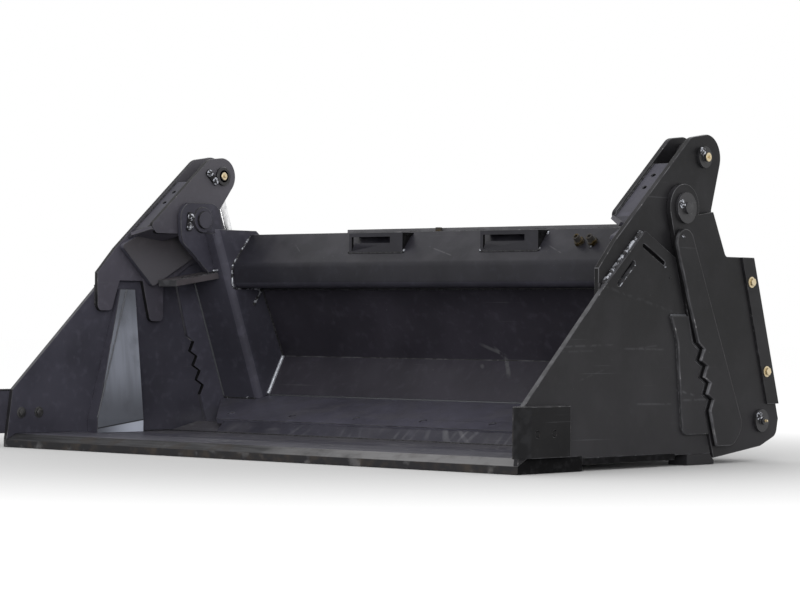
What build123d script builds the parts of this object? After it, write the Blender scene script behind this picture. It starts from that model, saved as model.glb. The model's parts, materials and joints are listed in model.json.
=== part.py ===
"""Combination bucket for a compact loader: a rear frame, a clamshell that swings open on two
pivots above the sides, and two hydraulic cylinders in the end columns.

Side profiles are drawn in (y, z): y runs back from the tip of the front cutting edge, z up from
the ground. Plates are then laid out across the width, outwards from the middle, in x. The right
hand pieces are drawn and the left hand ones are their mirror images. At the end everything moves
so that the origin is the bottom centre of the whole bucket's box.
"""
from build123d import *
import math
import os

# Overall width and plate thicknesses
WIDTH = 1880.0
SIDE_T = 14.0
ARM_T = 14.0
END_T = 14.0
DOUBLER_T = 8.0
RIB_DEPTH = 16.0
EAR_T = 14.0
MOLDBOARD_T = 10.0
BEAM_T = 8.0
HEEL_T = 7.0
REAR_FLOOR_T = 16.0
LIP_T = 14.0
WALL_T = 10.0
CAP_T = 20.0
WEB_T = 10.0
GUARD_T = 6.0
HITCH_T = 12.0
RIB_T = 10.0
STEP_T = 8.0
GUSSET_T = 8.0
CUTTER_T = 18.0

# Gaps across the width, inwards from the arm's outer plate
CLEVIS_GAP = 52.0
EAR_GAP = 4.0
COLUMN_GAP = 39.0
RUN_GAP = 0.5
FIT = 0.05
WELD_GAP = 0.2
SHELL_GAP = 0.3
BOLT_GAP = 0.4

# Pivot, rod pin and cylinder base pin, as (y, z)
PIVOT = (667.0, 648.0)
ROD_PIN = (766.0, 783.0)
BASE_PIN = (1010.0, 96.0)
PIVOT_R = 25.0
BUSH_T = 5.0
HUB_T = 14.0
PIVOT_HEAD_R = 40.0
PIVOT_STUB_R = 16.0
PIVOT_BOSS_R = 38.0
PIVOT_BOSS_T = 6.0
BOSS_CLEAR = 3.0
ROD_PIN_R = 19.0
ROD_PIN_WAIST_R = 12.0
ROD_PIN_HEAD_R = 28.0
ROD_PIN_STUB_R = 11.0
ROD_COLLAR_R = 28.0
BASE_PIN_R = 16.0
BASE_SPACER_R = 24.0
BASE_HEAD_R = 30.0
BASE_STUB_R = 10.0
PIN_HEAD_T = 8.0
PIN_END = 8.0
KEEPER_R = 8.5
KEEPER_T = 8.0
PIVOT_KEEPER = (-27.0, 10.0)
BASE_KEEPER = (-16.0, 13.0)
ROD_KEEPER = (-15.0, 13.0)
EAR_KEEPER = (-54.0, 2.0)

# Front cutting edge, floor and rear lip of the clamshell
GROUND = -12.0
EDGE_T = 37.0
EDGE_NOSE = 20.0
EDGE_BEVEL = 35.0
EDGE_DEPTH = 250.0
FLOOR_LIFT = 16.0
FLOOR_T = 16.0
FLOOR_END = 632.0
LIP_REACH = 116.0
LIP_RISE = 26.0
SKID_T = 28.0
SKID_FRONT = 684.0
SKID_LENGTH = 118.0
SKID_TAIL = 18.0
SKID_WIDTH = 60.0

# Side plate of the clamshell, with two plug weld slots in its upper end
SIDE_FRONT_TOP = (21.0, 150.0)
SIDE_KNEE = (339.0, 447.0)
SIDE_PEAK = (500.0, 586.0)
SIDE_PEAK_ROUND = 8.0
SIDE_BACK_TOP = 519.0
PARTING = 10.0
PLUG_SLOTS = (((457.0, 506.0), (388.0, 446.0), 14.0), ((490.0, 549.0), (583.0, 503.0), 11.0))

# Toothed edge of the strap, from the pivot head down
HEAD_R = 62.0
HEAD_END = -14.0
STRAP_FOOT = (704.0, 303.0)
VALLEY = (731.0, 285.0)
TIP = (717.0, 257.0)
TOOTH_STEP = (14.0, -43.5)
TOOTH_COUNT = 4
STRAP_END = (800.0, 4.0)

# Rear side plate behind the strap
HEEL_BOTTOM = (1012.0, 29.0)
HEEL_CORNER = (1085.0, 56.0)
HEEL_ROUND = 28.0
REAR_TOP = (964.0, 527.0)
REAR_FOOT = (1095.0, 100.0)
SHOULDER = (849.0, 527.0)
SHOULDER_ROUND = 14.0
NECK = (792.0, 642.0)

# Rib welded over the strap
RIB_DROP = (-15.0, -90.0)
RIB_HEAD_R = 36.0
RIB_INSET = 6.0
RIB_BACK = (912.0, 84.0)
RIB_FOOT = (868.0, 34.0)
RIB_FOOT_ROUND = 40.0

# Arm plates, the web between them and the tail plate under it
LOBE_R = 60.0
LOBE_SETBACK = 16.0
INNER_LOBE_R = 55.0
INNER_WAIST = (88.0, 31.0)
ARM_HEEL = (395.0, 559.0)
ARM_SHOULDER = (-54.0, 49.0)
SHOULDER_CURVE = 45.0
HUB_SWEEP_R = 136.0
HUB_SWEEP_END = -76.0
STEP_FOOT = (327.0, 451.0)
STEP_HEIGHT = 37.0
FINGER_TOP = 464.0
FRONT_FINGER = (356.0, 376.0)
REAR_FINGER = (563.0, 345.0)
FINGER_WIDTH = 54.0
FINGER_ROUND = 16.0
FINGER_BAY = (414.0, 506.0)
INNER_HEEL = 104.0
INNER_SWEEP_END = -23.0
INNER_FOOT = ((740.0, 572.0), (625.0, 572.0), (590.0, 604.0), (498.0, 604.0))
INNER_ROUND = 16.0
WEB_SETBACK = 6.0
WEB_START = 100.0
WEB_LENGTH = 220.0
WEB_HOLE_R = 6.0
WEB_HOLES = (120.0, 170.0)
TAIL_T = 18.0
TAIL_CROWN = (585.0, 656.0)
TAIL_FRONT = (404.0, 566.0)
TAIL_TIP = (531.0, 448.0)
TAIL_BACK = (705.0, 541.0)
TAIL_ROUND = 10.0

# Tooth doubler on the clamshell's side plate
DOUBLER_TOP = (604.0, 372.0)
DOUBLER_FRONT = (632.0, 306.0)
DOUBLER_FOOT = (654.0, 80.0)
DOUBLER_BOTTOM = 66.0

# Corner gusset, whose top stands in the bay between the arm's fingers
GUSSET_DROP = 24.0
GUSSET_FRONT_GAP = 2.0
GUSSET_BACK_GAP = 30.0
GUSSET_TOP_REACH = 14.0
GUSSET_FOOT_SPAN = (303.0, 486.0)
GUSSET_FOOT_REACH = 44.0
GUSSET_FOOT_RISE = 40.0

# Bolt-on side cutter
CUTTER_FRONT = -22.0
CUTTER_LENGTH = 203.0
CUTTER_BOTTOM = 26.0
CUTTER_HEIGHT = 124.0
CUTTER_BEVEL = 52.0
CUTTER_NOSE = 4.0
CUTTER_BOLTS = (53.0, 118.0)
CUTTER_BOLT_Z = 84.0
CUTTER_BOLT_R = 8.0
CUTTER_HEAD_R = 13.0
CUTTER_HEAD_T = 8.0

# Rear floor plate with the bolt holes of its edge
LIP_EDGE = (678.0, 58.0)
REAR_FLOOR_END = (905.0, 126.5)
REAR_EDGE_HALF = 775.0
REAR_FLOOR_SPLAY = 169.0
EDGE_HOLE_R = 10.3
EDGE_HOLE_PITCH = 254.0
EDGE_HOLE_COUNT = 7
EDGE_HOLE_BACK = 52.0

# Moldboard and top beam
MOLD_SETBACK = 8.0
MOLD_BEND = (963.0, 243.0)
BEAM_UNDER = (869.0, 446.0)
BEAM_CHIN = (752.0, 447.0)
BEAM_FOLD = (742.0, 516.0)
BEAM_FACE = 120.5
BEAM_FACE_TILT = 49.7
BEAM_ROUND = 22.0
BAR_SPAN = (-404.0, 756.0)
BAR_BACK = 25.0
BAR_T = 12.0
BAR_HEIGHT = 10.0

# End column: end plate bent round into the wall in front of the cylinder, cap and pivot ear
WALL_TOP = (727.0, 476.0)
WALL_SETBACK = 43.0
WALL_BEND_R = 25.0
WALL_BEND_IN_R = 12.0
END_STAND = 12.0
END_REACH = 22.0
END_SLOPE = 16.0
CAP_FRONT = (548.0, 468.0)
CAP_LENGTH = 182.0
CAP_TILT = 8.5
CAP_CLEAR = 20.0
CAP_OVERHANG = 13.0
EAR_CROWN = (-91.0, 51.0)
EAR_CHIN = (-86.0, -63.0)
EAR_BACK = (66.0, 51.0)
EAR_NAPE = (90.0, -33.0)
EAR_ROOT = 697.0
EAR_ROUND = 46.0
EAR_BACK_ROUND = 40.0

# Step plates on the top beam
STEP_CENTRES = (-222.0, 273.0)
STEP_WIDTH = 206.0
STEP_SETBACK = 26.0
STEP_RISE = 88.0
SLOT_MARGIN = 10.0
SLOT_WIDTH = 148.0
SLOT_HEIGHT = 18.0
SLOT_DROP = 11.0
NOTCH_WIDTH = 11.0
NOTCH_DEPTH = 23.0

# Hitch plates and the ribs that carry them
HITCH_INSET = 15.7
HITCH_IN = 150.0
HITCH_OUT = 560.0
HITCH_TOP = 590.0
HOOK_REACH = 40.0
HOOK_DROP = 22.0
HOOK_T = 14.0
HOOK_RELIEF_R = 4.0
LEDGE_REACH = 46.0
LEDGE_TOP = 166.0
LEDGE_T = 14.0
WEDGE_LENGTH = 64.0
WEDGE_WIDTH = 26.0
HITCH_RIB_IN = 200.0
HITCH_RIB_OUT = 510.0
HEEL_STEP = (8.0, -13.5)
HEEL_HEIGHT = 37.0
HEEL_LEAN = 13.0

# Cylinder guard
GUARD_FLANGE = 47.0
GUARD_BOTTOM = 140.0
GUARD_BOLTS = (462.0, 226.0)
GUARD_BOLT_INSET = 26.0
GUARD_BOLT_R = 6.0
GUARD_HEAD_R = 12.0
GUARD_HEAD_T = 7.0

# Hydraulic cylinders
BARREL_R = 38.0
BORE_R = 31.75
SPACER_CLEAR = 4.0
BARREL_FLOOR = 12.0
BARREL_TOP = 440.0
EYE_WIDTH = 60.0
BASE_EYE_R = 34.0
PORT_R = 13.0
PORT_HOLE_R = 7.0
PORT_REACH = 18.0
PORT_INSET = 42.0
GLAND_T = 22.0
GLAND_SPIGOT = 22.0
ROD_R = 19.0
PISTON_T = 36.0
PISTON_SEAT = 44.0
ROD_TAIL = 8.0
ROD_EYE_R = 38.0
ROD_EYE_BORE_R = 24.0
ROD_EYE_WIDTH = 44.0

# Hydraulic tubes and fittings
TUBE_R = 8.0
TUBE_WALL = 1.5
TUBE_HOLE_GAP = 0.4
TUBES = ((832.0, 532.0), (866.0, 532.0))
TUBE_REACH = 26.0
NUT_R = 13.0
NUT_T = 18.0
PORT_FITTINGS = (508.0, 553.0)
FITTING_ALONG = 67.0
FITTING_HEX_R = 15.0
FITTING_HEX_T = 11.0
FITTING_STUB_R = 9.5
FITTING_STUB = 16.0
FITTING_BORE_R = 5.0
PLUG_R = 10.0
PLUG_T = 11.0
PLUG_BACK = 14.0
PLUG_X = -40.0
GREASE_R = 4.0
GREASE_T = 9.0

# Positions across the width that follow from the sizes above
side_out = WIDTH / 2
side_in = side_out - SIDE_T
arm_in = side_in - ARM_T
tang_out = arm_in - CLEVIS_GAP
tang_in = tang_out - ARM_T
ear_out = tang_in - EAR_GAP
ear_in = ear_out - EAR_T
end_out = ear_in - COLUMN_GAP
end_in = end_out - END_T
frame_in = side_in + RUN_GAP
frame_out = frame_in + SIDE_T
cylinder_x = (arm_in + tang_out) / 2
edge_top = GROUND + EDGE_T
nose_top = GROUND + EDGE_NOSE
skid_top = GROUND + SKID_T
floor_bottom = GROUND + FLOOR_LIFT
floor_top = floor_bottom + FLOOR_T
bush_out_r = PIVOT_R + FIT + BUSH_T
hub_in_r = bush_out_r + WELD_GAP
hub_out_r = hub_in_r + HUB_T

nodes = {}


def move(point, step, times=1.0):
    """Point moved by a step, taken a number of times."""
    return (point[0] + step[0] * times, point[1] + step[1] * times)


def unit(start, end):
    """Unit direction from one point to another."""
    length = math.dist(start, end)
    return ((end[0] - start[0]) / length, (end[1] - start[1]) / length)


def on_circle(centre, radius, degrees):
    """Point of a circle at an angle from the y direction."""
    angle = math.radians(degrees)
    return (centre[0] + radius * math.cos(angle), centre[1] + radius * math.sin(angle))


def tangent(point, centre, radius, turn):
    """Point where a line from a point touches a circle; turn picks the side, 1 or -1."""
    reach = math.dist(point, centre)
    towards = math.degrees(math.atan2(point[1] - centre[1], point[0] - centre[0]))
    return on_circle(centre, radius, towards + turn * math.degrees(math.acos(radius / reach)))


def midpoint(start, end):
    """Point halfway between two points."""
    return ((start[0] + end[0]) / 2, (start[1] + end[1]) / 2)


def arc(centre, start, end):
    """Arc step around a centre, the short way from one point of the circle to another."""
    way = unit(centre, midpoint(start, end))
    return (move(centre, way, math.dist(centre, start)), end)


def outline(start, *steps):
    """Closed face from straight steps, each an end point, and arc steps, each (middle, end)."""
    edges = []
    here = start
    for step in steps:
        if isinstance(step[0], tuple):
            edges.append(ThreePointArc(here, step[0], step[1]))
            here = step[1]
        else:
            edges.append(Line(here, step))
            here = step
    if here != start:
        edges.append(Line(here, start))
    return make_face(edges)


def rounded(face, corners):
    """Face with the corner nearest to each point rounded to that point's radius."""
    for point, radius in corners:
        corner = face.vertices().sort_by_distance(Vertex(point[0], point[1], 0))[0]
        face = fillet(corner, radius)
    return face


def slab(face, x_start, x_end):
    """Plate with a side profile, between two positions across the width."""
    return extrude(Plane.YZ.offset(x_start) * face, x_end - x_start, dir=(1, 0, 0))


def disc(centre, radius, x_start, x_end):
    """Round bar along the width."""
    return slab(Pos(*centre) * Circle(radius), x_start, x_end)


def hexagon(centre, radius, x_start, x_end):
    """Six-sided bar along the width."""
    return slab(Pos(*centre) * RegularPolygon(radius, 6), x_start, x_end)


def strip(start, end, thickness):
    """Flat plate's section: its face runs from start to end and its thickness lies to the right."""
    along = unit(start, end)
    across = (along[1] * thickness, -along[0] * thickness)
    return outline(start, end, move(end, across), move(start, across))


def pair(name, right):
    """Right hand piece and its mirror image, as two nodes."""
    nodes[name + "_right"] = right
    nodes[name + "_left"] = mirror(right, about=Plane.YZ)


def group(name, rights):
    """Right hand pieces and their mirror images, as one node of separate solids."""
    lefts = [mirror(piece, about=Plane.YZ) for piece in rights]
    nodes[name] = Compound(children=[*rights, *lefts])


def rear_line(height):
    """How far back the rear edge of the end columns is at a height."""
    slope = (REAR_FOOT[0] - REAR_TOP[0]) / (REAR_TOP[1] - REAR_FOOT[1])
    return REAR_TOP[0] + (REAR_TOP[1] - height) * slope


def hitch_line(height):
    """How far back the front face of the hitch plates is at a height."""
    return rear_line(height) - HITCH_INSET - HITCH_T


def strap_edge(forward):
    """Front edge of the strap from the head's tangent point to its end, moved forward."""
    points = [tangent(STRAP_FOOT, PIVOT, HEAD_R, -1), STRAP_FOOT]
    for tooth in range(TOOTH_COUNT):
        points.append(move(VALLEY, TOOTH_STEP, tooth))
        points.append(move(TIP, TOOTH_STEP, tooth))
    points.append(STRAP_END)
    return [(point[0] - forward, point[1]) for point in points]


def at_height(start, end, height):
    """Point of the line through two points at a height."""
    share = (height - start[1]) / (end[1] - start[1])
    return (start[0] + share * (end[0] - start[0]), height)


def at_back(start, end, back):
    """Point of the line through two points at a distance back."""
    share = (back - start[0]) / (end[0] - start[0])
    return (back, start[1] + share * (end[1] - start[1]))


# Clamshell: cutting edge, floor, lip and skids
nodes["front_cutting_edge"] = slab(
    outline(
        (0, GROUND),
        (0, nose_top),
        (EDGE_BEVEL, edge_top),
        (EDGE_DEPTH, edge_top),
        (EDGE_DEPTH, GROUND),
    ),
    -side_out,
    side_out,
)
nodes["floor_plate"] = slab(
    outline(
        (EDGE_DEPTH, floor_bottom),
        (EDGE_DEPTH, floor_top),
        (FLOOR_END, floor_top),
        (FLOOR_END, floor_bottom),
    ),
    -side_out,
    side_out,
)
lip_start = (FLOOR_END, floor_top)
lip_end = (FLOOR_END + LIP_REACH, floor_top + LIP_RISE)
lip_along = unit(lip_start, lip_end)
lip_down = (0, -LIP_T / lip_along[0])
nodes["rear_lip"] = slab(
    outline(lip_start, lip_end, move(lip_end, lip_down), move(lip_start, lip_down)),
    -side_in,
    side_in,
)
skid_back = SKID_FRONT + SKID_LENGTH
skid = slab(
    outline(
        (SKID_FRONT, GROUND),
        (SKID_FRONT, skid_top),
        (skid_back - SKID_TAIL, skid_top),
        (skid_back, skid_top - SKID_TAIL),
        (skid_back, GROUND),
    ),
    side_out - SKID_WIDTH,
    side_out,
)
group("skid_blocks", [skid])

# Clamshell: side plate with its toothed rear edge, and the doubler over the teeth
shell_edge = strap_edge(PARTING)
side_foot = at_height(shell_edge[-2], shell_edge[-1], skid_top)
side_face = rounded(
    outline(
        (0, nose_top),
        (EDGE_BEVEL, edge_top),
        (EDGE_DEPTH, edge_top),
        (EDGE_DEPTH, floor_top),
        (FLOOR_END, floor_top),
        (FLOOR_END, skid_top),
        side_foot,
        *reversed(shell_edge[1:-1]),
        at_height(shell_edge[1], shell_edge[0], SIDE_BACK_TOP),
        SIDE_PEAK,
        SIDE_KNEE,
        SIDE_FRONT_TOP,
    ),
    [(SIDE_PEAK, SIDE_PEAK_ROUND)],
)
plug_slots = []
for slot_start, slot_end, slot_width in PLUG_SLOTS:
    turn = math.degrees(math.atan2(slot_end[1] - slot_start[1], slot_end[0] - slot_start[0]))
    slot = Rot(Z=turn) * SlotOverall(math.dist(slot_start, slot_end), slot_width)
    plug_slots.append(slab(Pos(*midpoint(slot_start, slot_end)) * slot, side_in, side_out))
cutter_holes = [
    disc((bolt_y, CUTTER_BOLT_Z), CUTTER_BOLT_R + BOLT_GAP, side_in, side_out + CUTTER_T)
    for bolt_y in CUTTER_BOLTS
]
pair("side_plate", slab(side_face, side_in, side_out) - cutter_holes - plug_slots)

doubler_end = at_height(shell_edge[-2], shell_edge[-1], DOUBLER_BOTTOM)
doubler_top_back = at_height(shell_edge[1], shell_edge[0], DOUBLER_TOP[1])
doubler_face = outline(
    DOUBLER_TOP,
    doubler_top_back,
    *shell_edge[1:-1],
    doubler_end,
    (DOUBLER_FOOT[0] + DOUBLER_FOOT[1] - DOUBLER_BOTTOM, DOUBLER_BOTTOM),
    DOUBLER_FOOT,
    DOUBLER_FRONT,
)
pair("tooth_doubler", slab(doubler_face, side_out, side_out + DOUBLER_T))

# Clamshell: arm plates, the web between them, the tail plate under it and the pivot hub
arm_shoulder = move(ROD_PIN, ARM_SHOULDER)
arm_along = unit(ARM_HEEL, arm_shoulder)
arm_across = (arm_along[1], -arm_along[0])
inner_heel = move(ARM_HEEL, arm_along, INNER_HEEL)
hub_rear = move(PIVOT, (HUB_SWEEP_R, 0))
inner_waist = move(PIVOT, INNER_WAIST)


def arm_face(heel, lobe_centre, lobe_r, waist, lower):
    """Arm plate's profile: both plates share the line of the front edge, the rest differs."""
    lobe_top = move(lobe_centre, (0, lobe_r))
    lobe = arc(lobe_centre, lobe_top, tangent(waist, lobe_centre, lobe_r, 1))
    face = outline(heel, arm_shoulder, lobe_top, lobe, waist, *lower)
    return rounded(face, [(arm_shoulder, SHOULDER_CURVE)])


def finger(tip, side):
    """Corner of a finger's tip, half its width to one side."""
    return (tip[0] + side * FINGER_WIDTH / 2, tip[1])


outer_face = arm_face(
    ARM_HEEL,
    move(ROD_PIN, (LOBE_SETBACK, 0)),
    LOBE_R,
    hub_rear,
    [
        arc(PIVOT, hub_rear, on_circle(PIVOT, HUB_SWEEP_R, HUB_SWEEP_END)),
        (REAR_FINGER[0] + FINGER_WIDTH / 2, FINGER_TOP - FINGER_ROUND),
        finger(REAR_FINGER, 1),
        finger(REAR_FINGER, -1),
        (FINGER_BAY[1], FINGER_TOP),
        (FINGER_BAY[0], FINGER_TOP),
        finger(FRONT_FINGER, 1),
        finger(FRONT_FINGER, -1),
        STEP_FOOT,
        move(STEP_FOOT, (0, STEP_HEIGHT)),
    ],
)
outer_face = rounded(
    outer_face,
    [(finger(tip, side), FINGER_ROUND) for tip in (FRONT_FINGER, REAR_FINGER) for side in (-1, 1)],
)
inner_back = on_circle(PIVOT, HUB_SWEEP_R, INNER_SWEEP_END)
inner_face = arm_face(inner_heel, ROD_PIN, INNER_LOBE_R, inner_waist, [inner_back, *INNER_FOOT])
inner_face = rounded(inner_face, [(inner_heel, INNER_ROUND), (INNER_FOOT[-1], INNER_ROUND)])
arm_holes = [
    disc(PIVOT, hub_out_r + WELD_GAP, tang_in, side_in),
    disc(ROD_PIN, ROD_PIN_R + FIT, tang_in, side_in),
]
pair("arm_outer_plate", slab(outer_face, arm_in, side_in) - arm_holes)
pair("arm_inner_plate", slab(inner_face, tang_in, tang_out) - arm_holes)

web_start = move(move(ARM_HEEL, arm_along, WEB_START), arm_across, WEB_SETBACK)
web_end = move(web_start, arm_along, WEB_LENGTH)
web = slab(strip(web_start, web_end, WEB_T), tang_out, arm_in)
for distance in WEB_HOLES:
    hole_at = move(web_start, arm_along, distance)
    hole_axis = Plane(
        origin=(cylinder_x, *hole_at),
        x_dir=(1, 0, 0),
        z_dir=(0, *arm_across),
    )
    web -= hole_axis * Cylinder(WEB_HOLE_R, 3 * WEB_T)
tail_face = rounded(
    outline(TAIL_FRONT, TAIL_CROWN, TAIL_BACK, TAIL_TIP),
    [(TAIL_FRONT, TAIL_ROUND), (TAIL_TIP, TAIL_ROUND)],
)
tail = slab(tail_face, arm_in - TAIL_T, arm_in)
group("arm_webs", [web, tail])

hub = disc(PIVOT, hub_out_r, ear_out + RUN_GAP, side_in) - disc(PIVOT, hub_in_r, ear_out, frame_out)
pair("pivot_hub", hub)
bush = disc(PIVOT, bush_out_r, ear_out + RUN_GAP, side_in) - disc(PIVOT, PIVOT_R + FIT, ear_out, frame_out)
group("pivot_bushes", [bush])

# Clamshell: rod pin with a thinner waist inside the rod's eye
rod_head_face = side_in + PIN_HEAD_T
rod_pin = disc(ROD_PIN, ROD_PIN_R, tang_in - PIN_HEAD_T, side_in)
rod_pin += disc(ROD_PIN, ROD_PIN_HEAD_R, side_in, rod_head_face)
rod_pin += disc(ROD_PIN, ROD_PIN_STUB_R, rod_head_face, rod_head_face + PIN_END)
waist_in = cylinder_x - ROD_EYE_WIDTH / 2 - RUN_GAP
waist_out = cylinder_x + ROD_EYE_WIDTH / 2 + RUN_GAP
rod_pin -= disc(ROD_PIN, ROD_PIN_R, waist_in, waist_out)
rod_pin += disc(ROD_PIN, ROD_PIN_WAIST_R, waist_in, waist_out)
rod_collar = disc(ROD_PIN, ROD_COLLAR_R, tang_in - PIN_HEAD_T, tang_in)
rod_collar -= disc(ROD_PIN, ROD_PIN_R + FIT, tang_in - PIN_HEAD_T, tang_in)
pair("rod_pin", rod_pin)

# Clamshell: corner gusset, a folded plate from the side plate down to the floor
def gusset_block(inset):
    """Tapered block that the gusset's plate wraps, smaller by an inset on its three free sides."""
    faces = []
    top_span = (FINGER_BAY[0] + GUSSET_FRONT_GAP, FINGER_BAY[1] - GUSSET_BACK_GAP)
    for height, span, reach in (
        (floor_top, GUSSET_FOOT_SPAN, GUSSET_FOOT_REACH),
        (floor_top + GUSSET_FOOT_RISE, GUSSET_FOOT_SPAN, GUSSET_FOOT_REACH),
        (FINGER_TOP - GUSSET_DROP, top_span, GUSSET_TOP_REACH),
    ):
        section = Polyline(
            (side_in, span[0] + inset),
            (side_in - reach + inset, span[0] + inset),
            (side_in - reach + inset, span[1] - inset),
            (side_in, span[1] - inset),
            close=True,
        )
        faces.append(Plane.XY.offset(height) * make_face(section))
    return loft(faces[:2], ruled=True) + loft(faces[1:], ruled=True)


pair("corner_gusset", gusset_block(0) - gusset_block(GUSSET_T))

# Clamshell: bolt-on side cutter and the bolts
cutter_face = make_face(
    Polyline(
        (side_out, CUTTER_FRONT),
        (side_out + CUTTER_NOSE, CUTTER_FRONT),
        (side_out + CUTTER_T, CUTTER_FRONT + CUTTER_BEVEL),
        (side_out + CUTTER_T, CUTTER_FRONT + CUTTER_LENGTH),
        (side_out, CUTTER_FRONT + CUTTER_LENGTH),
        close=True,
    )
)
cutter = extrude(Plane.XY.offset(CUTTER_BOTTOM) * cutter_face, CUTTER_HEIGHT, dir=(0, 0, 1))
pair("side_cutter", cutter - cutter_holes)

cutter_bolts = []
bolt_seat = side_in - WELD_GAP
for bolt_y in CUTTER_BOLTS:
    place = (bolt_y, CUTTER_BOLT_Z)
    bolt = disc(place, CUTTER_BOLT_R, bolt_seat, side_out + CUTTER_T)
    bolt += disc(place, CUTTER_HEAD_R, bolt_seat - CUTTER_HEAD_T, bolt_seat)
    cutter_bolts.append(bolt)
group("cutter_bolts", cutter_bolts)

rod_keeper = hexagon(move(ROD_PIN, ROD_KEEPER), KEEPER_R, rod_head_face, rod_head_face + KEEPER_T)
rod_grease = disc(ROD_PIN, GREASE_R, rod_head_face + PIN_END, rod_head_face + PIN_END + GREASE_T)
group("rod_pin_keepers", [rod_collar, rod_keeper, rod_grease])

# Rear frame: side plate with the pivot head, and the rib over its strap
frame_edge = strap_edge(0)
head_end = on_circle(PIVOT, HEAD_R, HEAD_END)
head_top = move(PIVOT, (0, HEAD_R))
frame_face = rounded(
    outline(
        frame_edge[0],
        *frame_edge[1:],
        HEEL_BOTTOM,
        HEEL_CORNER,
        REAR_FOOT,
        REAR_TOP,
        SHOULDER,
        NECK,
        head_end,
        arc(PIVOT, head_end, head_top),
        arc(PIVOT, head_top, frame_edge[0]),
    ),
    [(HEEL_CORNER, HEEL_ROUND), (SHOULDER, SHOULDER_ROUND)],
)
frame_holes = [
    disc(PIVOT, PIVOT_R + FIT, ear_in - PIVOT_BOSS_T, frame_out),
    disc(BASE_PIN, BASE_PIN_R + FIT, end_in, frame_out),
]
guard_bolt_points = [(rear_line(height) - GUARD_BOLT_INSET, height) for height in GUARD_BOLTS]
guard_holes = [
    disc(point, GUARD_BOLT_R + BOLT_GAP, frame_in, frame_out + GUARD_T) for point in guard_bolt_points
]
pair("rear_side_plate", slab(frame_face, frame_in, frame_out) - frame_holes - guard_holes)

rib_head = move(PIVOT, RIB_DROP)
rib_edge = [move(point, (RIB_INSET, 0)) for point in frame_edge]
rib_left = tangent(rib_edge[1], rib_head, RIB_HEAD_R, -1)
rib_right = tangent(RIB_BACK, rib_head, RIB_HEAD_R, 1)
rib_face = rounded(
    outline(
        rib_left,
        *rib_edge[1:-1],
        at_height(rib_edge[-2], rib_edge[-1], RIB_FOOT[1]),
        RIB_FOOT,
        RIB_BACK,
        rib_right,
        arc(rib_head, rib_right, rib_left),
    ),
    [(RIB_FOOT, RIB_FOOT_ROUND), (RIB_BACK, RIB_FOOT_ROUND)],
)
pair("strap_rib", slab(rib_face, frame_out, frame_out + RIB_DEPTH))

# Rear frame: floor plate with splayed ends and the holes of its edge
floor_along = unit(LIP_EDGE, REAR_FLOOR_END)
floor_up = (-floor_along[1], floor_along[0])
floor_length = math.dist(LIP_EDGE, REAR_FLOOR_END)
floor_plane = Plane(origin=(0, *LIP_EDGE), x_dir=(1, 0, 0), z_dir=(0, *floor_up))
splay = REAR_FLOOR_SPLAY / floor_along[0]
rear_floor_face = make_face(
    Polyline(
        (-REAR_EDGE_HALF, 0),
        (REAR_EDGE_HALF, 0),
        (frame_in, splay),
        (frame_in, floor_length),
        (-frame_in, floor_length),
        (-frame_in, splay),
        close=True,
    )
)
rear_floor = extrude(floor_plane * rear_floor_face, -REAR_FLOOR_T)
first_hole = -EDGE_HOLE_PITCH * (EDGE_HOLE_COUNT - 1) / 2
for number in range(EDGE_HOLE_COUNT):
    hole_x = first_hole + EDGE_HOLE_PITCH * number
    rear_floor -= floor_plane * Pos(hole_x, EDGE_HOLE_BACK, 0) * Cylinder(EDGE_HOLE_R, 3 * REAR_FLOOR_T)
nodes["rear_floor_plate"] = rear_floor

# Rear frame: moldboard, top beam and heel beam between the end plates
def offset_corner(before, corner, after, thickness):
    """Corner of a bent plate's other side, at its thickness from both legs."""
    first = unit(before, corner)
    second = unit(corner, after)
    normal = (first[1] + second[1], -first[0] - second[0])
    length = math.hypot(*normal)
    scale = thickness / ((first[1] * normal[0] - first[0] * normal[1]) / length)
    return move(corner, (normal[0] / length, normal[1] / length), scale)


mold_foot = at_back(LIP_EDGE, REAR_FLOOR_END, REAR_FLOOR_END[0] - MOLD_SETBACK)
mold_foot_back = move(mold_foot, (MOLDBOARD_T / unit(mold_foot, MOLD_BEND)[1], 0))
mold_bend_back = offset_corner(mold_foot, MOLD_BEND, BEAM_UNDER, MOLDBOARD_T)
mold_top_back = at_height(
    mold_bend_back,
    move(mold_bend_back, unit(MOLD_BEND, BEAM_UNDER)),
    BEAM_UNDER[1],
)
mold_face = outline(mold_foot, MOLD_BEND, BEAM_UNDER, mold_top_back, mold_bend_back, mold_foot_back)
nodes["moldboard"] = slab(mold_face, -end_in, end_in) - rear_floor

beam_top = on_circle(BEAM_FOLD, BEAM_FACE, BEAM_FACE_TILT)
beam_outer = rounded(
    outline(
        BEAM_UNDER,
        BEAM_CHIN,
        BEAM_FOLD,
        beam_top,
        (hitch_line(beam_top[1]), beam_top[1]),
        (hitch_line(BEAM_UNDER[1]), BEAM_UNDER[1]),
    ),
    [(BEAM_CHIN, BEAM_ROUND), (BEAM_FOLD, BEAM_ROUND)],
)
beam_hollow = slab(offset(beam_outer, -BEAM_T), -end_in, end_in)
nodes["top_beam"] = slab(beam_outer, -end_in, end_in) - beam_hollow
bar_foot = move(beam_top, (BAR_BACK, 0))
bar_face = outline(
    bar_foot,
    move(bar_foot, (0, BAR_HEIGHT)),
    move(bar_foot, (BAR_T, BAR_HEIGHT)),
    move(bar_foot, (BAR_T, 0)),
)
nodes["beam_bar"] = slab(bar_face, *BAR_SPAN)
heel_front = move(REAR_FLOOR_END, HEEL_STEP)
heel_front_top = move(heel_front, (HEEL_LEAN, HEEL_HEIGHT))
heel_bottom = heel_front[1]
heel_top = heel_front_top[1]
heel_outer = outline(
    heel_front,
    heel_front_top,
    (hitch_line(heel_top), heel_top),
    (hitch_line(heel_bottom), heel_bottom),
)
heel_hollow = slab(offset(heel_outer, -HEEL_T), -end_in, end_in)
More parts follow.
